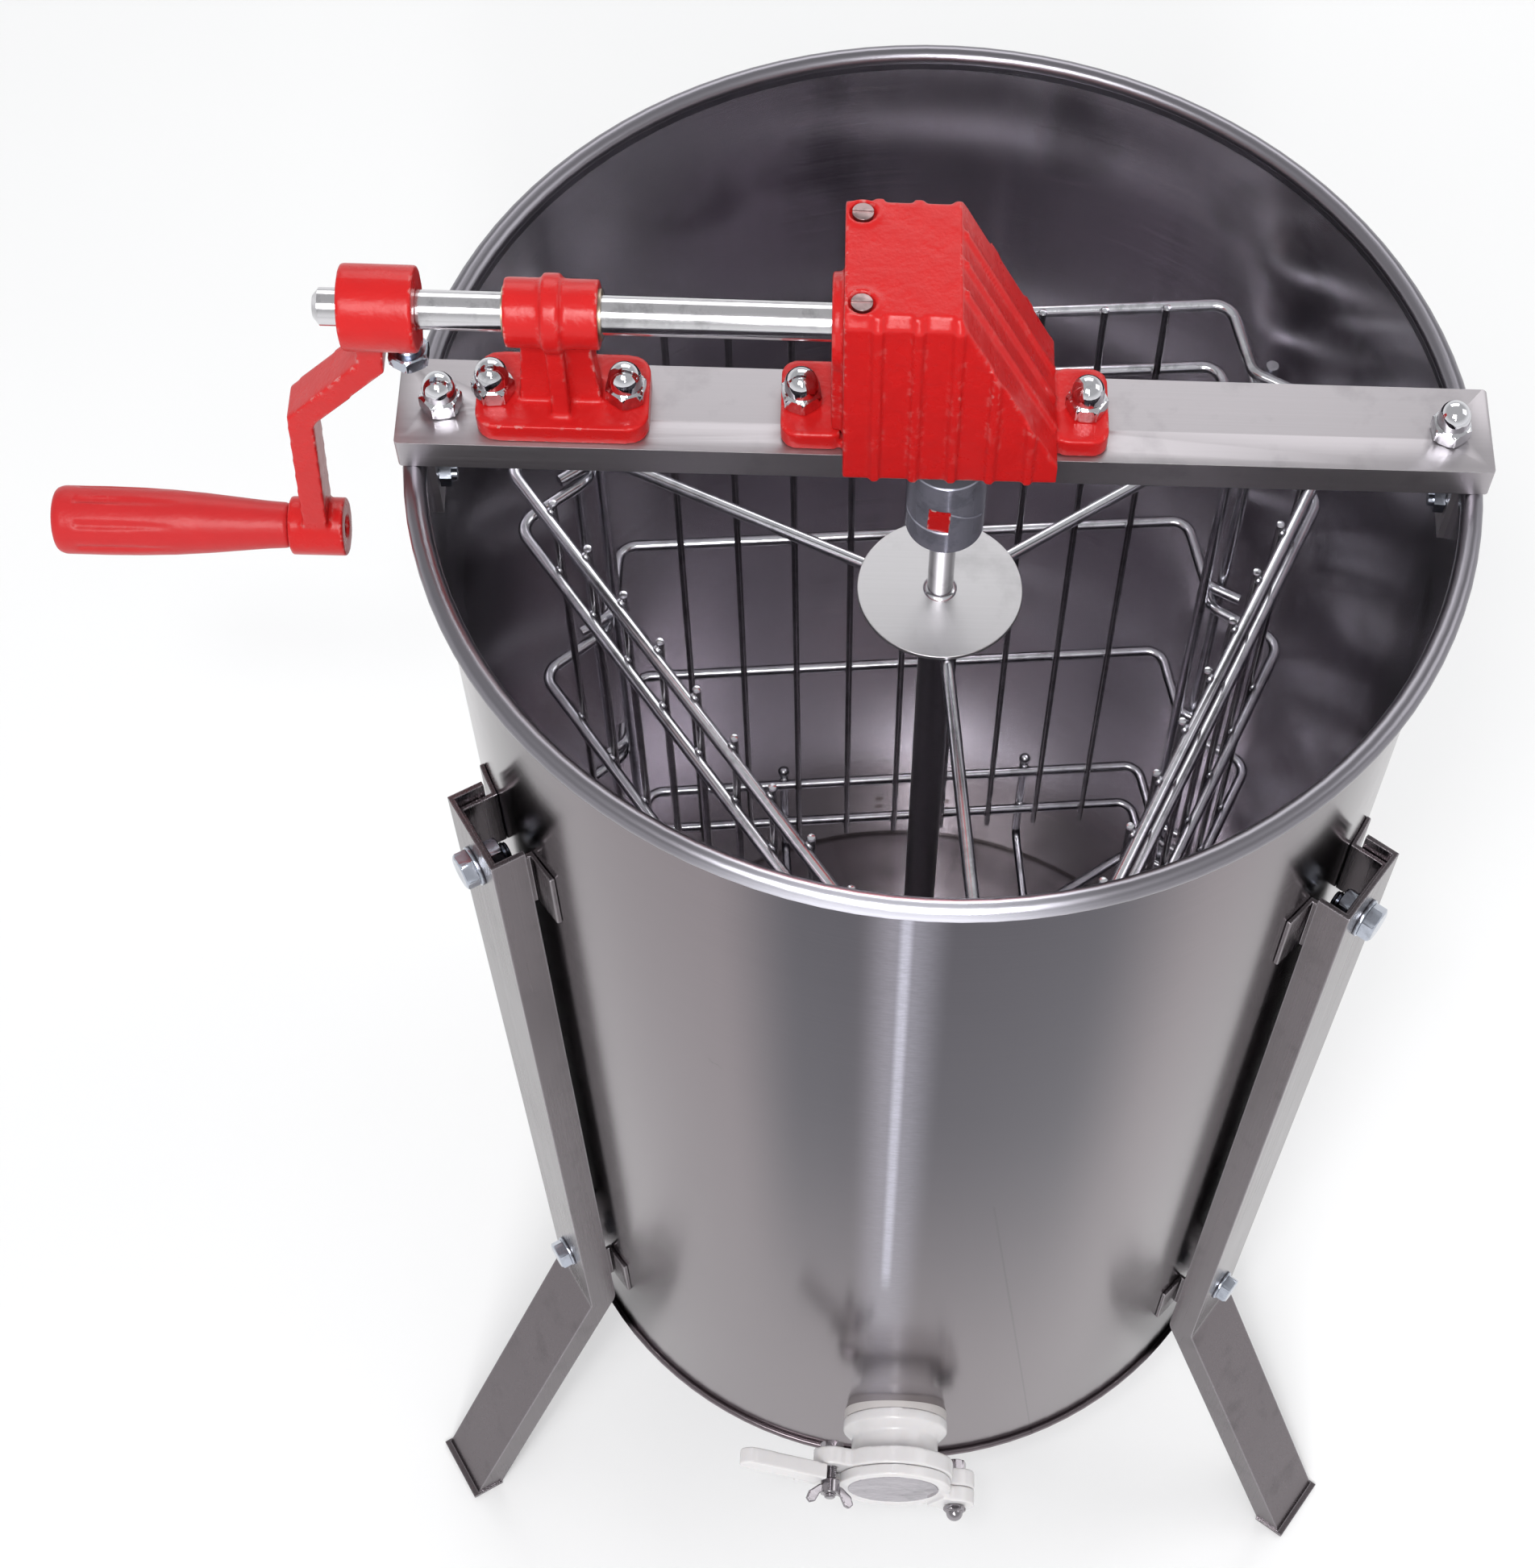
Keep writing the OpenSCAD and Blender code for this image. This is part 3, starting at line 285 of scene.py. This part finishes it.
def bright_metal(name, color, rough, wear=0.06, scale=160.0, metal=1.0, dents=0.0):
    """Plated, drawn or polished metal with small changes in gloss and a few handling marks."""
    g = Graph(name, color, rough, metal)
    cloud = g.noise(g.where(), scale, 3.0)
    fine = g.noise(g.where(), scale * 9, 2.0)
    marks = g.ramp(g.noise(g.where(), scale * 0.6, 6.0, 0.7), (0.36, 0.72), (0.50, 1.0))
    return g.use(Base_Color=g.mix(1.0, (*color, 1), marks, "MULTIPLY"),
                 Roughness=between(g, cloud, max(rough - wear * 0.5, 0.02), rough + wear),
                 Normal=g.bump(fine, 0.05, 0.0002, g.bump(cloud, dents, 0.002)))


def enamel(name, color, deep, chips=1.0, rough=0.2):
    """Glossy paint over a casting: soft lumps and small grey chips on the edges."""
    coat = {"Coat Weight": 0.06, "Coat Roughness": 0.16, "Specular IOR Level": 0.24}
    g = Graph(name, color, rough, **coat)
    place = g.where()
    lumps = g.noise(place, 130.0, 3.0)
    peel = g.noise(place, 620.0, 2.0)
    edge = g.add("Bevel", {"Radius": 0.0011}, samples=6)
    flat = g.add("NewGeometry", out=1)
    bend = g.math("SUBTRACT", 1.0, g.add("VectorMath", {0: edge, 1: flat}, out=1, operation="DOT_PRODUCT"))
    on_edge = g.math("MULTIPLY", bend, 9.0, clamp=True)
    speck = g.ramp(g.noise(place, 300.0, 5.0, 0.65), (0.54, 0.0), (0.57, 1.0))
    rare = g.ramp(g.noise(place, 42.0, 2.0), (0.46, 0.0), (0.52, 1.0))
    chip = g.math("MULTIPLY", speck, rare)
    chip = g.math("MULTIPLY", chip, g.math("MULTIPLY", on_edge, chips), clamp=True)
    tint = g.mix(between(g, lumps, 0.0, 0.55), (*color, 1), (*deep, 1))
    grey = g.mix(g.noise(place, 900.0), (0.42, 0.34, 0.32, 1), (0.62, 0.56, 0.54, 1))
    gloss = between(g, lumps, rough - 0.04, rough + 0.07)
    return g.use(Base_Color=g.mix(chip, tint, grey),
                 Roughness=g.math("ADD", gloss, g.math("MULTIPLY", chip, 0.3)),
                 Normal=g.bump(peel, 0.16, 0.0006, g.bump(lumps, 0.30, 0.0012)))


def plastic(name, color, deep, rough, scatter=0.0):
    """Moulded plastic: faint flow marks, fine grain, a few darker specks."""
    g = Graph(name, color, rough)
    place = g.where()
    flow = g.noise(place, 90.0, 3.0, 0.5, Distortion=0.6)
    grain = g.noise(place, 1500.0, 2.0)
    dirt = g.ramp(g.noise(place, 198.0, 6.0, 0.7), (0.26, 0.90), (0.38, 1.0))
    if scatter:
        g.use(Subsurface_Weight=scatter, Subsurface_Radius=(0.004, 0.003, 0.002), Subsurface_Scale=0.6)
    return g.use(Base_Color=g.mix(1.0, g.mix(flow, (*color, 1), (*deep, 1)), dirt, "MULTIPLY"),
                 Roughness=between(g, flow, rough - 0.05, rough + 0.08),
                 Normal=g.bump(grain, 0.08, 0.0001))


looks = {
    "drum_steel": drum_steel(),
    "bar_steel": sheet_steel("bar_steel", (0.44, 0.415, 0.435), 0.42, along="X"),
    "leg_steel": sheet_steel("leg_steel", (0.146, 0.127, 0.136), 0.24, aniso=0.3, dirt=0.80, edge_highlight=0.55),
    "red_paint": enamel("red_paint", (0.54, 0.012, 0.012), (0.40, 0.008, 0.009), chips=2.4, rough=0.27),
    "red_grip": enamel("red_grip", (0.50, 0.020, 0.022), (0.40, 0.012, 0.014), chips=0.7, rough=0.36),
    "zinc": bright_metal("zinc", (0.46, 0.49, 0.56), 0.19),
    "chrome": bright_metal("chrome", (0.66, 0.66, 0.69), 0.06, wear=0.04),
    "dark_steel": bright_metal("dark_steel", (0.10, 0.10, 0.11), 0.35),
    "bronze": bright_metal("bronze", (0.40, 0.33, 0.25), 0.35),
    "shaft_steel": bright_metal("shaft_steel", (0.64, 0.63, 0.65), 0.13, scale=90.0),
    "gear_steel": bright_metal("gear_steel", (0.33, 0.32, 0.31), 0.34),
    "disc_steel": sheet_steel("disc_steel", (0.56, 0.55, 0.565), 0.40, along="X"),
    "tube_steel": sheet_steel("tube_steel", (0.22, 0.21, 0.22), 0.3, along="Z", aniso=0.4),
    "basket_steel": bright_metal("basket_steel", (0.68, 0.68, 0.72), 0.20, scale=120.0),
    "black_plastic": plastic("black_plastic", (0.012, 0.012, 0.013), (0.02, 0.02, 0.021), 0.5),
    "ivory_plastic": plastic("ivory_plastic", (0.70, 0.685, 0.69), (0.65, 0.63, 0.635), 0.20, scatter=0.12),
    "seal_rubber": plastic("seal_rubber", (0.60, 0.57, 0.56), (0.52, 0.49, 0.48), 0.45),
    "insert_steel": bright_metal("insert_steel", (0.37, 0.345, 0.38), 0.08, wear=0.12, scale=75.0, dents=0.5),
    "cup_plastic": plastic("cup_plastic", (0.80, 0.79, 0.76), (0.76, 0.74, 0.70), 0.4),
}
slot_of = {row["node"]: row["material_slot"] for row in frame["record"]["subparts"]}
wire_look = bright_metal("wire_steel", (0.27, 0.26, 0.27), 0.17, scale=120.0)
worn_look = bright_metal("worn_screws", (0.34, 0.25, 0.25), 0.34, scale=400.0)
for name, piece in nodes.items():
    piece.data.materials.clear()
    piece.data.materials.append(wire_look if name.startswith("wires") else looks[slot_of[name]])
nodes["gearbox_screws"].data.materials[0] = worn_look


# ---------------------------------------------------------------- shapes, in millimetres

HEM = 150.0                 # the drum's lower edge above the floor
BAR_TOP = HEM + 642.5
CRANK_Z = HEM + 690.0       # the crank shaft's axis
WELD_GAP = 0.00002          # vertices nearer than this are one, in metres


def at(x, y, z):
    return Matrix.Translation((x, y, z))


def rotate(degrees, axis):
    return Matrix.Rotation(math.radians(degrees), 4, axis)


class Shape:
    """Vertices and faces gathered in millimetres, made into one piece at the end."""

    def __init__(self):
        self.points, self.faces = [], []

    def add(self, points, faces, place=Matrix()):
        n = len(self.points)
        self.points += [place @ Vector(p) for p in points]
        self.faces += [tuple(n + k for k in f) for f in faces]

    def lathe(self, rows, place=Matrix(), sides=48, closed=False):
        """Turned rows of (height, radius) or (height, radius, across flats), capped at both ends."""
        points, faces = [], []
        for row in rows:
            z, r = row[:2]
            for k in range(sides):
                a = 2 * math.pi * k / sides
                if len(row) > 2:
                    flat = row[2] / 2 / math.cos((a % (math.pi / 3)) - math.pi / 6)
                    points.append((min(r, flat) * math.cos(a), min(r, flat) * math.sin(a), z))
                else:
                    points.append((r * math.cos(a), r * math.sin(a), z))
        n = len(rows)
        for i in range(n if closed else n - 1):
            for k in range(sides):
                a, b = i * sides + k, i * sides + (k + 1) % sides
                c, d = ((i + 1) % n) * sides + (k + 1) % sides, ((i + 1) % n) * sides + k
                faces.append((a, b, c, d))
        if not closed:
            faces.append(tuple(range(sides - 1, -1, -1)))
            faces.append(tuple((n - 1) * sides + k for k in range(sides)))
        self.add(points, faces, place)

    def ball(self, place, rx, ry, rz, rings, sides):
        angles = [math.pi * (i + 0.35) / (rings + 0.7) for i in range(rings + 1)]
        rows = [(-math.cos(a), math.sin(a)) for a in angles]
        self.lathe(rows, place @ Matrix.Diagonal((rx, ry, rz, 1)), sides)

    def make(self, name, body, slot, *replaced, angle=35):
        mesh = bpy.data.meshes.new(name)
        mesh.from_pydata([p * 0.001 for p in self.points], [], self.faces)
        mesh.validate()
        obj = bpy.data.objects.new(name, mesh)
        bpy.context.collection.objects.link(obj)
        return finish_piece(obj, body, slot, replaced, angle)


def finish_piece(obj, body, slot, replaced=(), angle=35):
    mesh = obj.data
    bm = bmesh.new()
    bm.from_mesh(mesh)
    bmesh.ops.recalc_face_normals(bm, faces=bm.faces)
    for edge in bm.edges:
        edge.smooth = len(edge.link_faces) == 2 and edge.calc_face_angle(0) < math.radians(angle)
    for face in bm.faces:
        face.smooth = True
    bm.to_mesh(mesh)
    bm.free()
    mesh.materials.clear()
    mesh.materials.append(looks[slot])
    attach(obj, body)
    if replaced:
        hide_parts(*replaced)
    return obj


def hexed(af, h, z=0.0, top=True):
    """Rows of a hexagonal nut or head, af across its flats, with its corners turned off below and above."""
    low = [(z, 0.465 * af, af), (z + 0.035 * af, 0.53 * af, af), (z + 0.075 * af, 0.60 * af, af)]
    end = z + h
    high = [(end - 0.075 * af, 0.60 * af, af), (end - 0.035 * af, 0.53 * af, af), (end, 0.465 * af, af)]
    return low + (high if top else [(end, 0.60 * af, af)])


def domed(af, h, neck, r):
    """Rows of a domed nut on z = 0: a hexagon h high, a neck, and a dome of radius r."""
    rows = hexed(af, h) + [(h + 0.02, r + 0.5), (h + 0.4, r + 0.1), (h + neck, r)]
    return rows + [(h + neck + r * math.sin(a), max(r * math.cos(a), 0.02))
                   for a in (math.pi / 2 * k / 9 for k in range(1, 10))]


def thread(r, z0, z1, pitch):
    """Rows of a threaded shank, as a row of close rings."""
    rows, z = [(z0, r - 0.35 * pitch)], z0 + 0.2
    while z < z1 - pitch:
        rows += [(z, r - 0.5 * pitch), (z + pitch * 0.45, r), (z + pitch * 0.55, r)]
        z += pitch
    return rows + [(z1 - 0.8, r - 0.5 * pitch), (z1 - 0.5, r - 0.3 * pitch), (z1, r - 0.9 * pitch)]


def casting(node, body, voxel, passes, keep=1.0):
    """A piece with the CAD node's shape, its edges and inner corners rounded as a mould leaves them."""
    src = nodes[node]
    obj = bpy.data.objects.new(node + "_cast", src.data.copy())
    bpy.context.collection.objects.link(obj)
    obj.matrix_world = src.matrix_world.copy()
    weld = obj.modifiers.new("weld", "WELD")
    weld.merge_threshold = WELD_GAP
    remesh = obj.modifiers.new("remesh", "REMESH")
    remesh.mode, remesh.voxel_size = "VOXEL", voxel / 1000
    smooth = obj.modifiers.new("smooth", "SMOOTH")
    smooth.factor, smooth.iterations = 0.5, passes
    if keep < 1:
        less = obj.modifiers.new("less", "DECIMATE")
        less.ratio = keep
    shaped = bpy.data.meshes.new_from_object(obj.evaluated_get(bpy.context.evaluated_depsgraph_get()))
    obj.modifiers.clear()
    obj.data = shaped
    finish_piece(obj, body, slot_of[node], (node,), 180)


def soften(node, width):
    """Rounded edges on a CAD node that is shown as it is."""
    piece = nodes[node]
    weld = piece.modifiers.new("weld", "WELD")
    weld.merge_threshold = WELD_GAP
    flat = piece.modifiers.new("flat", "DECIMATE")
    flat.decimate_type, flat.angle_limit = "DISSOLVE", math.radians(2)
    bevel = piece.modifiers.new("bevel", "BEVEL")
    bevel.width, bevel.segments, bevel.limit_method = width / 1000, 2, "ANGLE"
    bevel.angle_limit, bevel.harden_normals = math.radians(30), True


# ---------------------------------------------------------------- castings and mouldings

casting("gearbox_housing", "stand", 0.8, 3, 0.55)
casting("gearbox_cover", "stand", 0.9, 3, 0.5)
casting("pillow_block", "stand", 0.75, 4, 0.6)
casting("crank_arm", "crank", 0.75, 6, 0.7)
casting("crank_grip", "grip", 0.8, 3, 0.7)
casting("gate_body", "stand", 0.7, 4, 0.5)
casting("gate_blade", "blade", 0.55, 6)
casting("gate_wing_nut", "wing_nut", 0.35, 2)
casting("gate_insert", "blade", 0.4, 2, 0.3)

for node, width in (("leg_left", 0.7), ("leg_right", 0.7), ("leg_back", 0.7), ("leg_brackets", 0.5),
                    ("cross_bar", 0.9), ("bar_brackets", 0.6), ("leg_washers", 0.3), ("hub_disc", 0.4),
                    ("gearbox_screws", 0.3), ("post_caps", 0.4), ("gate_lock_nut", 0.8)):
    soften(node, width)

# ---------------------------------------------------------------- nuts and bolts

BAR_BOLTS = (-158.0, -112.7, -52.4, 46.6)   # through the castings' feet
END_BOLTS = (-176.8, 176.8)                 # through the bar's ends
BOLT_Y = -1.5
FOOT = 8                                    # thickness of the castings' feet
domed_m8 = domed(13, 6.5, 2.7, 5.8)
shape = Shape()
for k, x in enumerate(BAR_BOLTS):
    shape.lathe(domed_m8, at(x, BOLT_Y, BAR_TOP + FOOT) @ rotate(17 * k + 5, "Z"), 72)
for k, x in enumerate(END_BOLTS):
    shape.lathe(domed_m8, at(x, BOLT_Y, BAR_TOP) @ rotate(23 * k + 12, "Z"), 72)
shape.make("bar_nuts", "stand", "chrome", "acorn_nuts", angle=24)

LEG_TURNS = (-149.2, -36.2, 87.3)
LEG_BOLT_HEIGHTS = (HEM + 498, HEM + 88)
LEG_FACE = 202.5                            # from the axis to the outside of a leg's web
bolts, nuts = Shape(), Shape()
for a in LEG_TURNS:
    for k, z in enumerate(LEG_BOLT_HEIGHTS):
        place = rotate(a, "Z") @ at(LEG_FACE, 0, z) @ rotate(-90, "Y") @ rotate(13 + 21 * k, "Z")
        bolts.lathe(hexed(13, 5.3, -7, top=False), place, 72)
        bolts.lathe(thread(4, -1.8, 13.4, 1.25), place, 32)
        nuts.lathe(hexed(13, 6.4, 4.02), place @ rotate(11, "Z"), 72)
bolts.make("leg_bolt_set", "stand", "zinc", "leg_bolts", angle=24)
nuts.make("leg_nut_set", "stand", "zinc", "leg_nuts", angle=24)

shape = Shape()
place = at(-184.8, 0, CRANK_Z - 16.5)
shape.lathe(hexed(13, 5.5, -8.5), place @ rotate(30, "Z"), 72)
shape.lathe(thread(4, -3.2, 9.6, 1.25), place, 32)
shape.make("set_bolt", "crank", "zinc", "crank_set_bolt", angle=24)

# The gate's own frame: z runs along its bore away from the drum, x toward the pivot bolt.
gate = rotate(-1.5, "Z") @ at(0, -185, HEM + 68) @ rotate(90, "X") @ rotate(-28, "Z")
LUG_X = 36          # from the bore's axis to the bolts
PLATE_Z = 24        # the side of the gate's plate that faces the drum
NUT_Z = 41.5        # the front of the blade's ear, where the pivot nut sits
clamp = gate @ at(-LUG_X, 0, PLATE_Z)
pivot = gate @ at(LUG_X, 0, PLATE_Z)
shape = Shape()
shape.lathe(hexed(10, 4, -4), clamp @ rotate(30, "Z"), 72)
shape.lathe(thread(3, -0.5, 24.5, 1.0), clamp, 32)
shape.make("clamp_bolt", "stand", "zinc", "gate_clamp_bolt", angle=24)
shape = Shape()
shape.lathe(hexed(10, 6, -6), pivot @ rotate(10, "Z"), 72)
shape.lathe([(-0.5, 3), (19, 3), (19.5, 2.6)], pivot, 32)
shape.make("pivot_bolt", "stand", "chrome", "gate_pivot_bolt", angle=24)
shape = Shape()
shape.lathe(domed(10, 3, 0.4, 4.3), gate @ at(LUG_X, 0, NUT_Z) @ rotate(25, "Z"), 72)
shape.make("pivot_nut", "stand", "chrome", "gate_pivot_nut", angle=24)
# Painted shade: the gate's bolts and nuts get a darker copy of the plated metal, for the dark surroundings
# they mirror low on the drum.
shaded_gate_metal = bright_metal("shaded_gate_metal", (0.31, 0.29, 0.31), 0.13)
for name in ("clamp_bolt", "pivot_bolt", "pivot_nut", "gate_wing_nut_cast"):
    bpy.data.objects[name].data.materials[0] = shaded_gate_metal


# ---------------------------------------------------------------- clutch

satin = bright_metal("satin_plate", (0.40, 0.40, 0.48), 0.22, metal=0.68)
SIDES = 144
OUTER, INNER, CHAMFER = 14.6, 6, 0.45
WINDOW = 102                # turn of the window that faces the front, clockwise from +X
WINDOW_HALF = 17.0          # half of a window's width, in degrees
WINDOW_TOP = 12.3           # height of a window above the parting line's level
RAMP_TOP = 11.5             # height from which a ramp runs down to that level
RAMP = 72.0                 # degrees that a ramp takes to run down
BASE_LOW, BASE_HIGH = HEM + 580.7, HEM + 592.7
TOP_LOW, TOP_HIGH = HEM + 593.0, HEM + 619.0


def clutch_half(name, node, body, wall_low, wall_high):
    """A ring whose lower and upper edges follow functions of the degrees from the front window's middle."""
    points, faces = [], []
    for k in range(SIDES):
        a = 360 * k / SIDES
        low, high = wall_low(a), wall_high(a)
        c, s = math.cos(math.radians(a - WINDOW)), math.sin(math.radians(a - WINDOW))
        for r, z in ((INNER, low), (OUTER - CHAMFER, low), (OUTER, low + CHAMFER),
                     (OUTER, high - CHAMFER), (OUTER - CHAMFER, high), (INNER, high)):
            points.append((r * c, r * s, z))
    for k in range(SIDES):
        n = (k + 1) % SIDES
        for i in range(6):
            j = (i + 1) % 6
            faces.append((6 * k + i, 6 * n + i, 6 * n + j, 6 * k + j))
    shape = Shape()
    shape.add(points, faces)
    piece = shape.make(name, body, "chrome", node, angle=30)
    piece.data.materials[0] = satin


def in_window(a):
    return a % 180 < WINDOW_HALF or a % 180 > 180 - WINDOW_HALF


def ramp(a):
    """Height of the parting line outside the windows: it runs down to the level, twice around."""
    return RAMP_TOP * max(0.0, 1 - (a % 180 - WINDOW_HALF) / RAMP)


clutch_half("clutch_top", "clutch_upper", "pinion_drive",
            lambda a: TOP_LOW + (WINDOW_TOP if in_window(a) else ramp(a)), lambda a: TOP_HIGH)
clutch_half("clutch_base", "clutch_lower", "basket",
            lambda a: BASE_LOW, lambda a: BASE_HIGH + (0 if in_window(a) else ramp(a)))

# ---------------------------------------------------------------- basket welds

LEVELS = (160, 198, 306, 411, 518, 556)     # heights of the rails above the drum's hem
BASKETS = (("back", 5, 5.2), ("right", 245, -5.2), ("left", 125, 0.0))      # name, turn, height step
WIRE_STEP = 25
WIRE_TOP = 4.3                              # how far the wires stand above the top rail
for side, angle, step in BASKETS:
    shape = Shape()
    basket = rotate(angle, "Z")
    for h in LEVELS:
        z = HEM + h + step
        for k in range(-4, 5):
            wob = 0.25 * math.sin(7.1 * k + 3.3 * h)
            place = basket @ at(WIRE_STEP * k, 111.4 + wob * 0.4, z + wob)
            shape.ball(place, 2.1 + wob * 0.5, 1.7, 1.9, 5, 10)
    for k in range(-4, 5):
        top = HEM + LEVELS[-1] + step + WIRE_TOP
        shape.ball(basket @ at(WIRE_STEP * k, 110, top), 1.75, 1.75, 0.9, 4, 10)
    for x in (-57, 68):
        shape.ball(basket @ at(x, 118.75, HEM + 208.6), 3.0, 3.0, 2.6, 7, 14)
        for h in LEVELS[:2]:
            shape.ball(basket @ at(x, 116.4, HEM + h + step), 2.6, 2.0, 2.3, 5, 10)
    shape.make("welds_" + side, "basket", "basket_steel")

# The welds where the spokes meet the tube, and around the shaft on the disc
SPOKE_Z = HEM + 193
DISC_TOP = HEM + 538
shape = Shape()
for a in (35, 155, 275):
    shape.ball(rotate(a, "Z") @ at(7.6, 0, SPOKE_Z), 2.2, 3.6, 3.6, 5, 12)
bead = [(-0.1, 5.0), (-0.1, 6.6), (0.3, 6.3), (0.9, 5.6), (1.1, 5.0)]
shape.lathe(bead, at(0, 0, DISC_TOP), sides=40, closed=True)
shape.make("welds_centre", "basket", "basket_steel")


# ---------------------------------------------------------------- floor and light

FLOOR_SIZE = 16.0


def floor_material():
    """Pale and matt. Far from the machine it glows a little, to fade into the white around it."""
    g = Graph("floor", (0.92, 0.92, 0.92), 0.6)
    cloud = g.noise(g.where(), 3.0, 2.0)
    radius = around_axis(g)[1]
    glow = g.add("MapRange", {0: radius, 1: 1.8, 2: 4.5, 3: 0.0, 4: 0.48}, interpolation_type="SMOOTHSTEP")
    g.set(g.shader, {"Emission Color": (1.0, 1.0, 1.0), "Emission Strength": glow})
    return g.use(Base_Color=g.mix(cloud, (0.91, 0.91, 0.915, 1), (0.94, 0.94, 0.94, 1)))


bpy.ops.mesh.primitive_plane_add(size=FLOOR_SIZE, location=(0, 0, -0.0005))
floor = bpy.context.object
floor.name = "floor"
floor.data.materials.append(floor_material())


def studio_world():
    """White at the horizon, dimmer overhead."""
    world = bpy.data.worlds.new("studio")
    world.use_nodes = True
    tree = world.node_tree
    place = tree.nodes.new("ShaderNodeTexCoord")
    split = tree.nodes.new("ShaderNodeSeparateXYZ")
    level = tree.nodes.new("ShaderNodeMapRange")
    tree.links.new(place.outputs["Generated"], split.inputs[0])
    tree.links.new(split.outputs["Z"], level.inputs[0])
    for socket, value in enumerate((0.02, 0.40, 1.0, 0.57), start=1):
        level.inputs[socket].default_value = value
    sky = tree.nodes["Background"]
    sky.inputs["Color"].default_value = (0.97, 0.975, 0.98, 1)
    tree.links.new(level.outputs[0], sky.inputs["Strength"])
    return world


bpy.context.scene.world = studio_world()


def soft_light(name, place, target, size, power):
    data = bpy.data.lights.new(name, "AREA")
    data.shape, data.size, data.size_y = "RECTANGLE", *size
    data.energy = power
    lamp = bpy.data.objects.new(name, data)
    bpy.context.collection.objects.link(lamp)
    lamp.location = place
    lamp.rotation_mode = "QUATERNION"
    lamp.rotation_quaternion = (Vector(target) - Vector(place)).to_track_quat("-Z", "Y")


soft_light("key", (-0.5, -1.7, 2.9), (0, 0, 0.5), (1.2, 1.2), 36)
soft_light("lamp", (-0.12, -0.62, 1.75), (0, 0, 0.4), (0.10, 0.07), 2.2)
soft_light("strip", (0.05, -1.5, 1.9), (0, 0, 0.6), (0.12, 0.9), 10)
soft_light("side", (2.4, 0.4, 2.2), (0, 0, 0.5), (1.4, 1.4), 11)
soft_light("back", (0.1, 2.4, 2.5), (0, 0, 0.6), (2.2, 1.4), 22)
bpy.context.scene.view_settings.view_transform = "Standard"
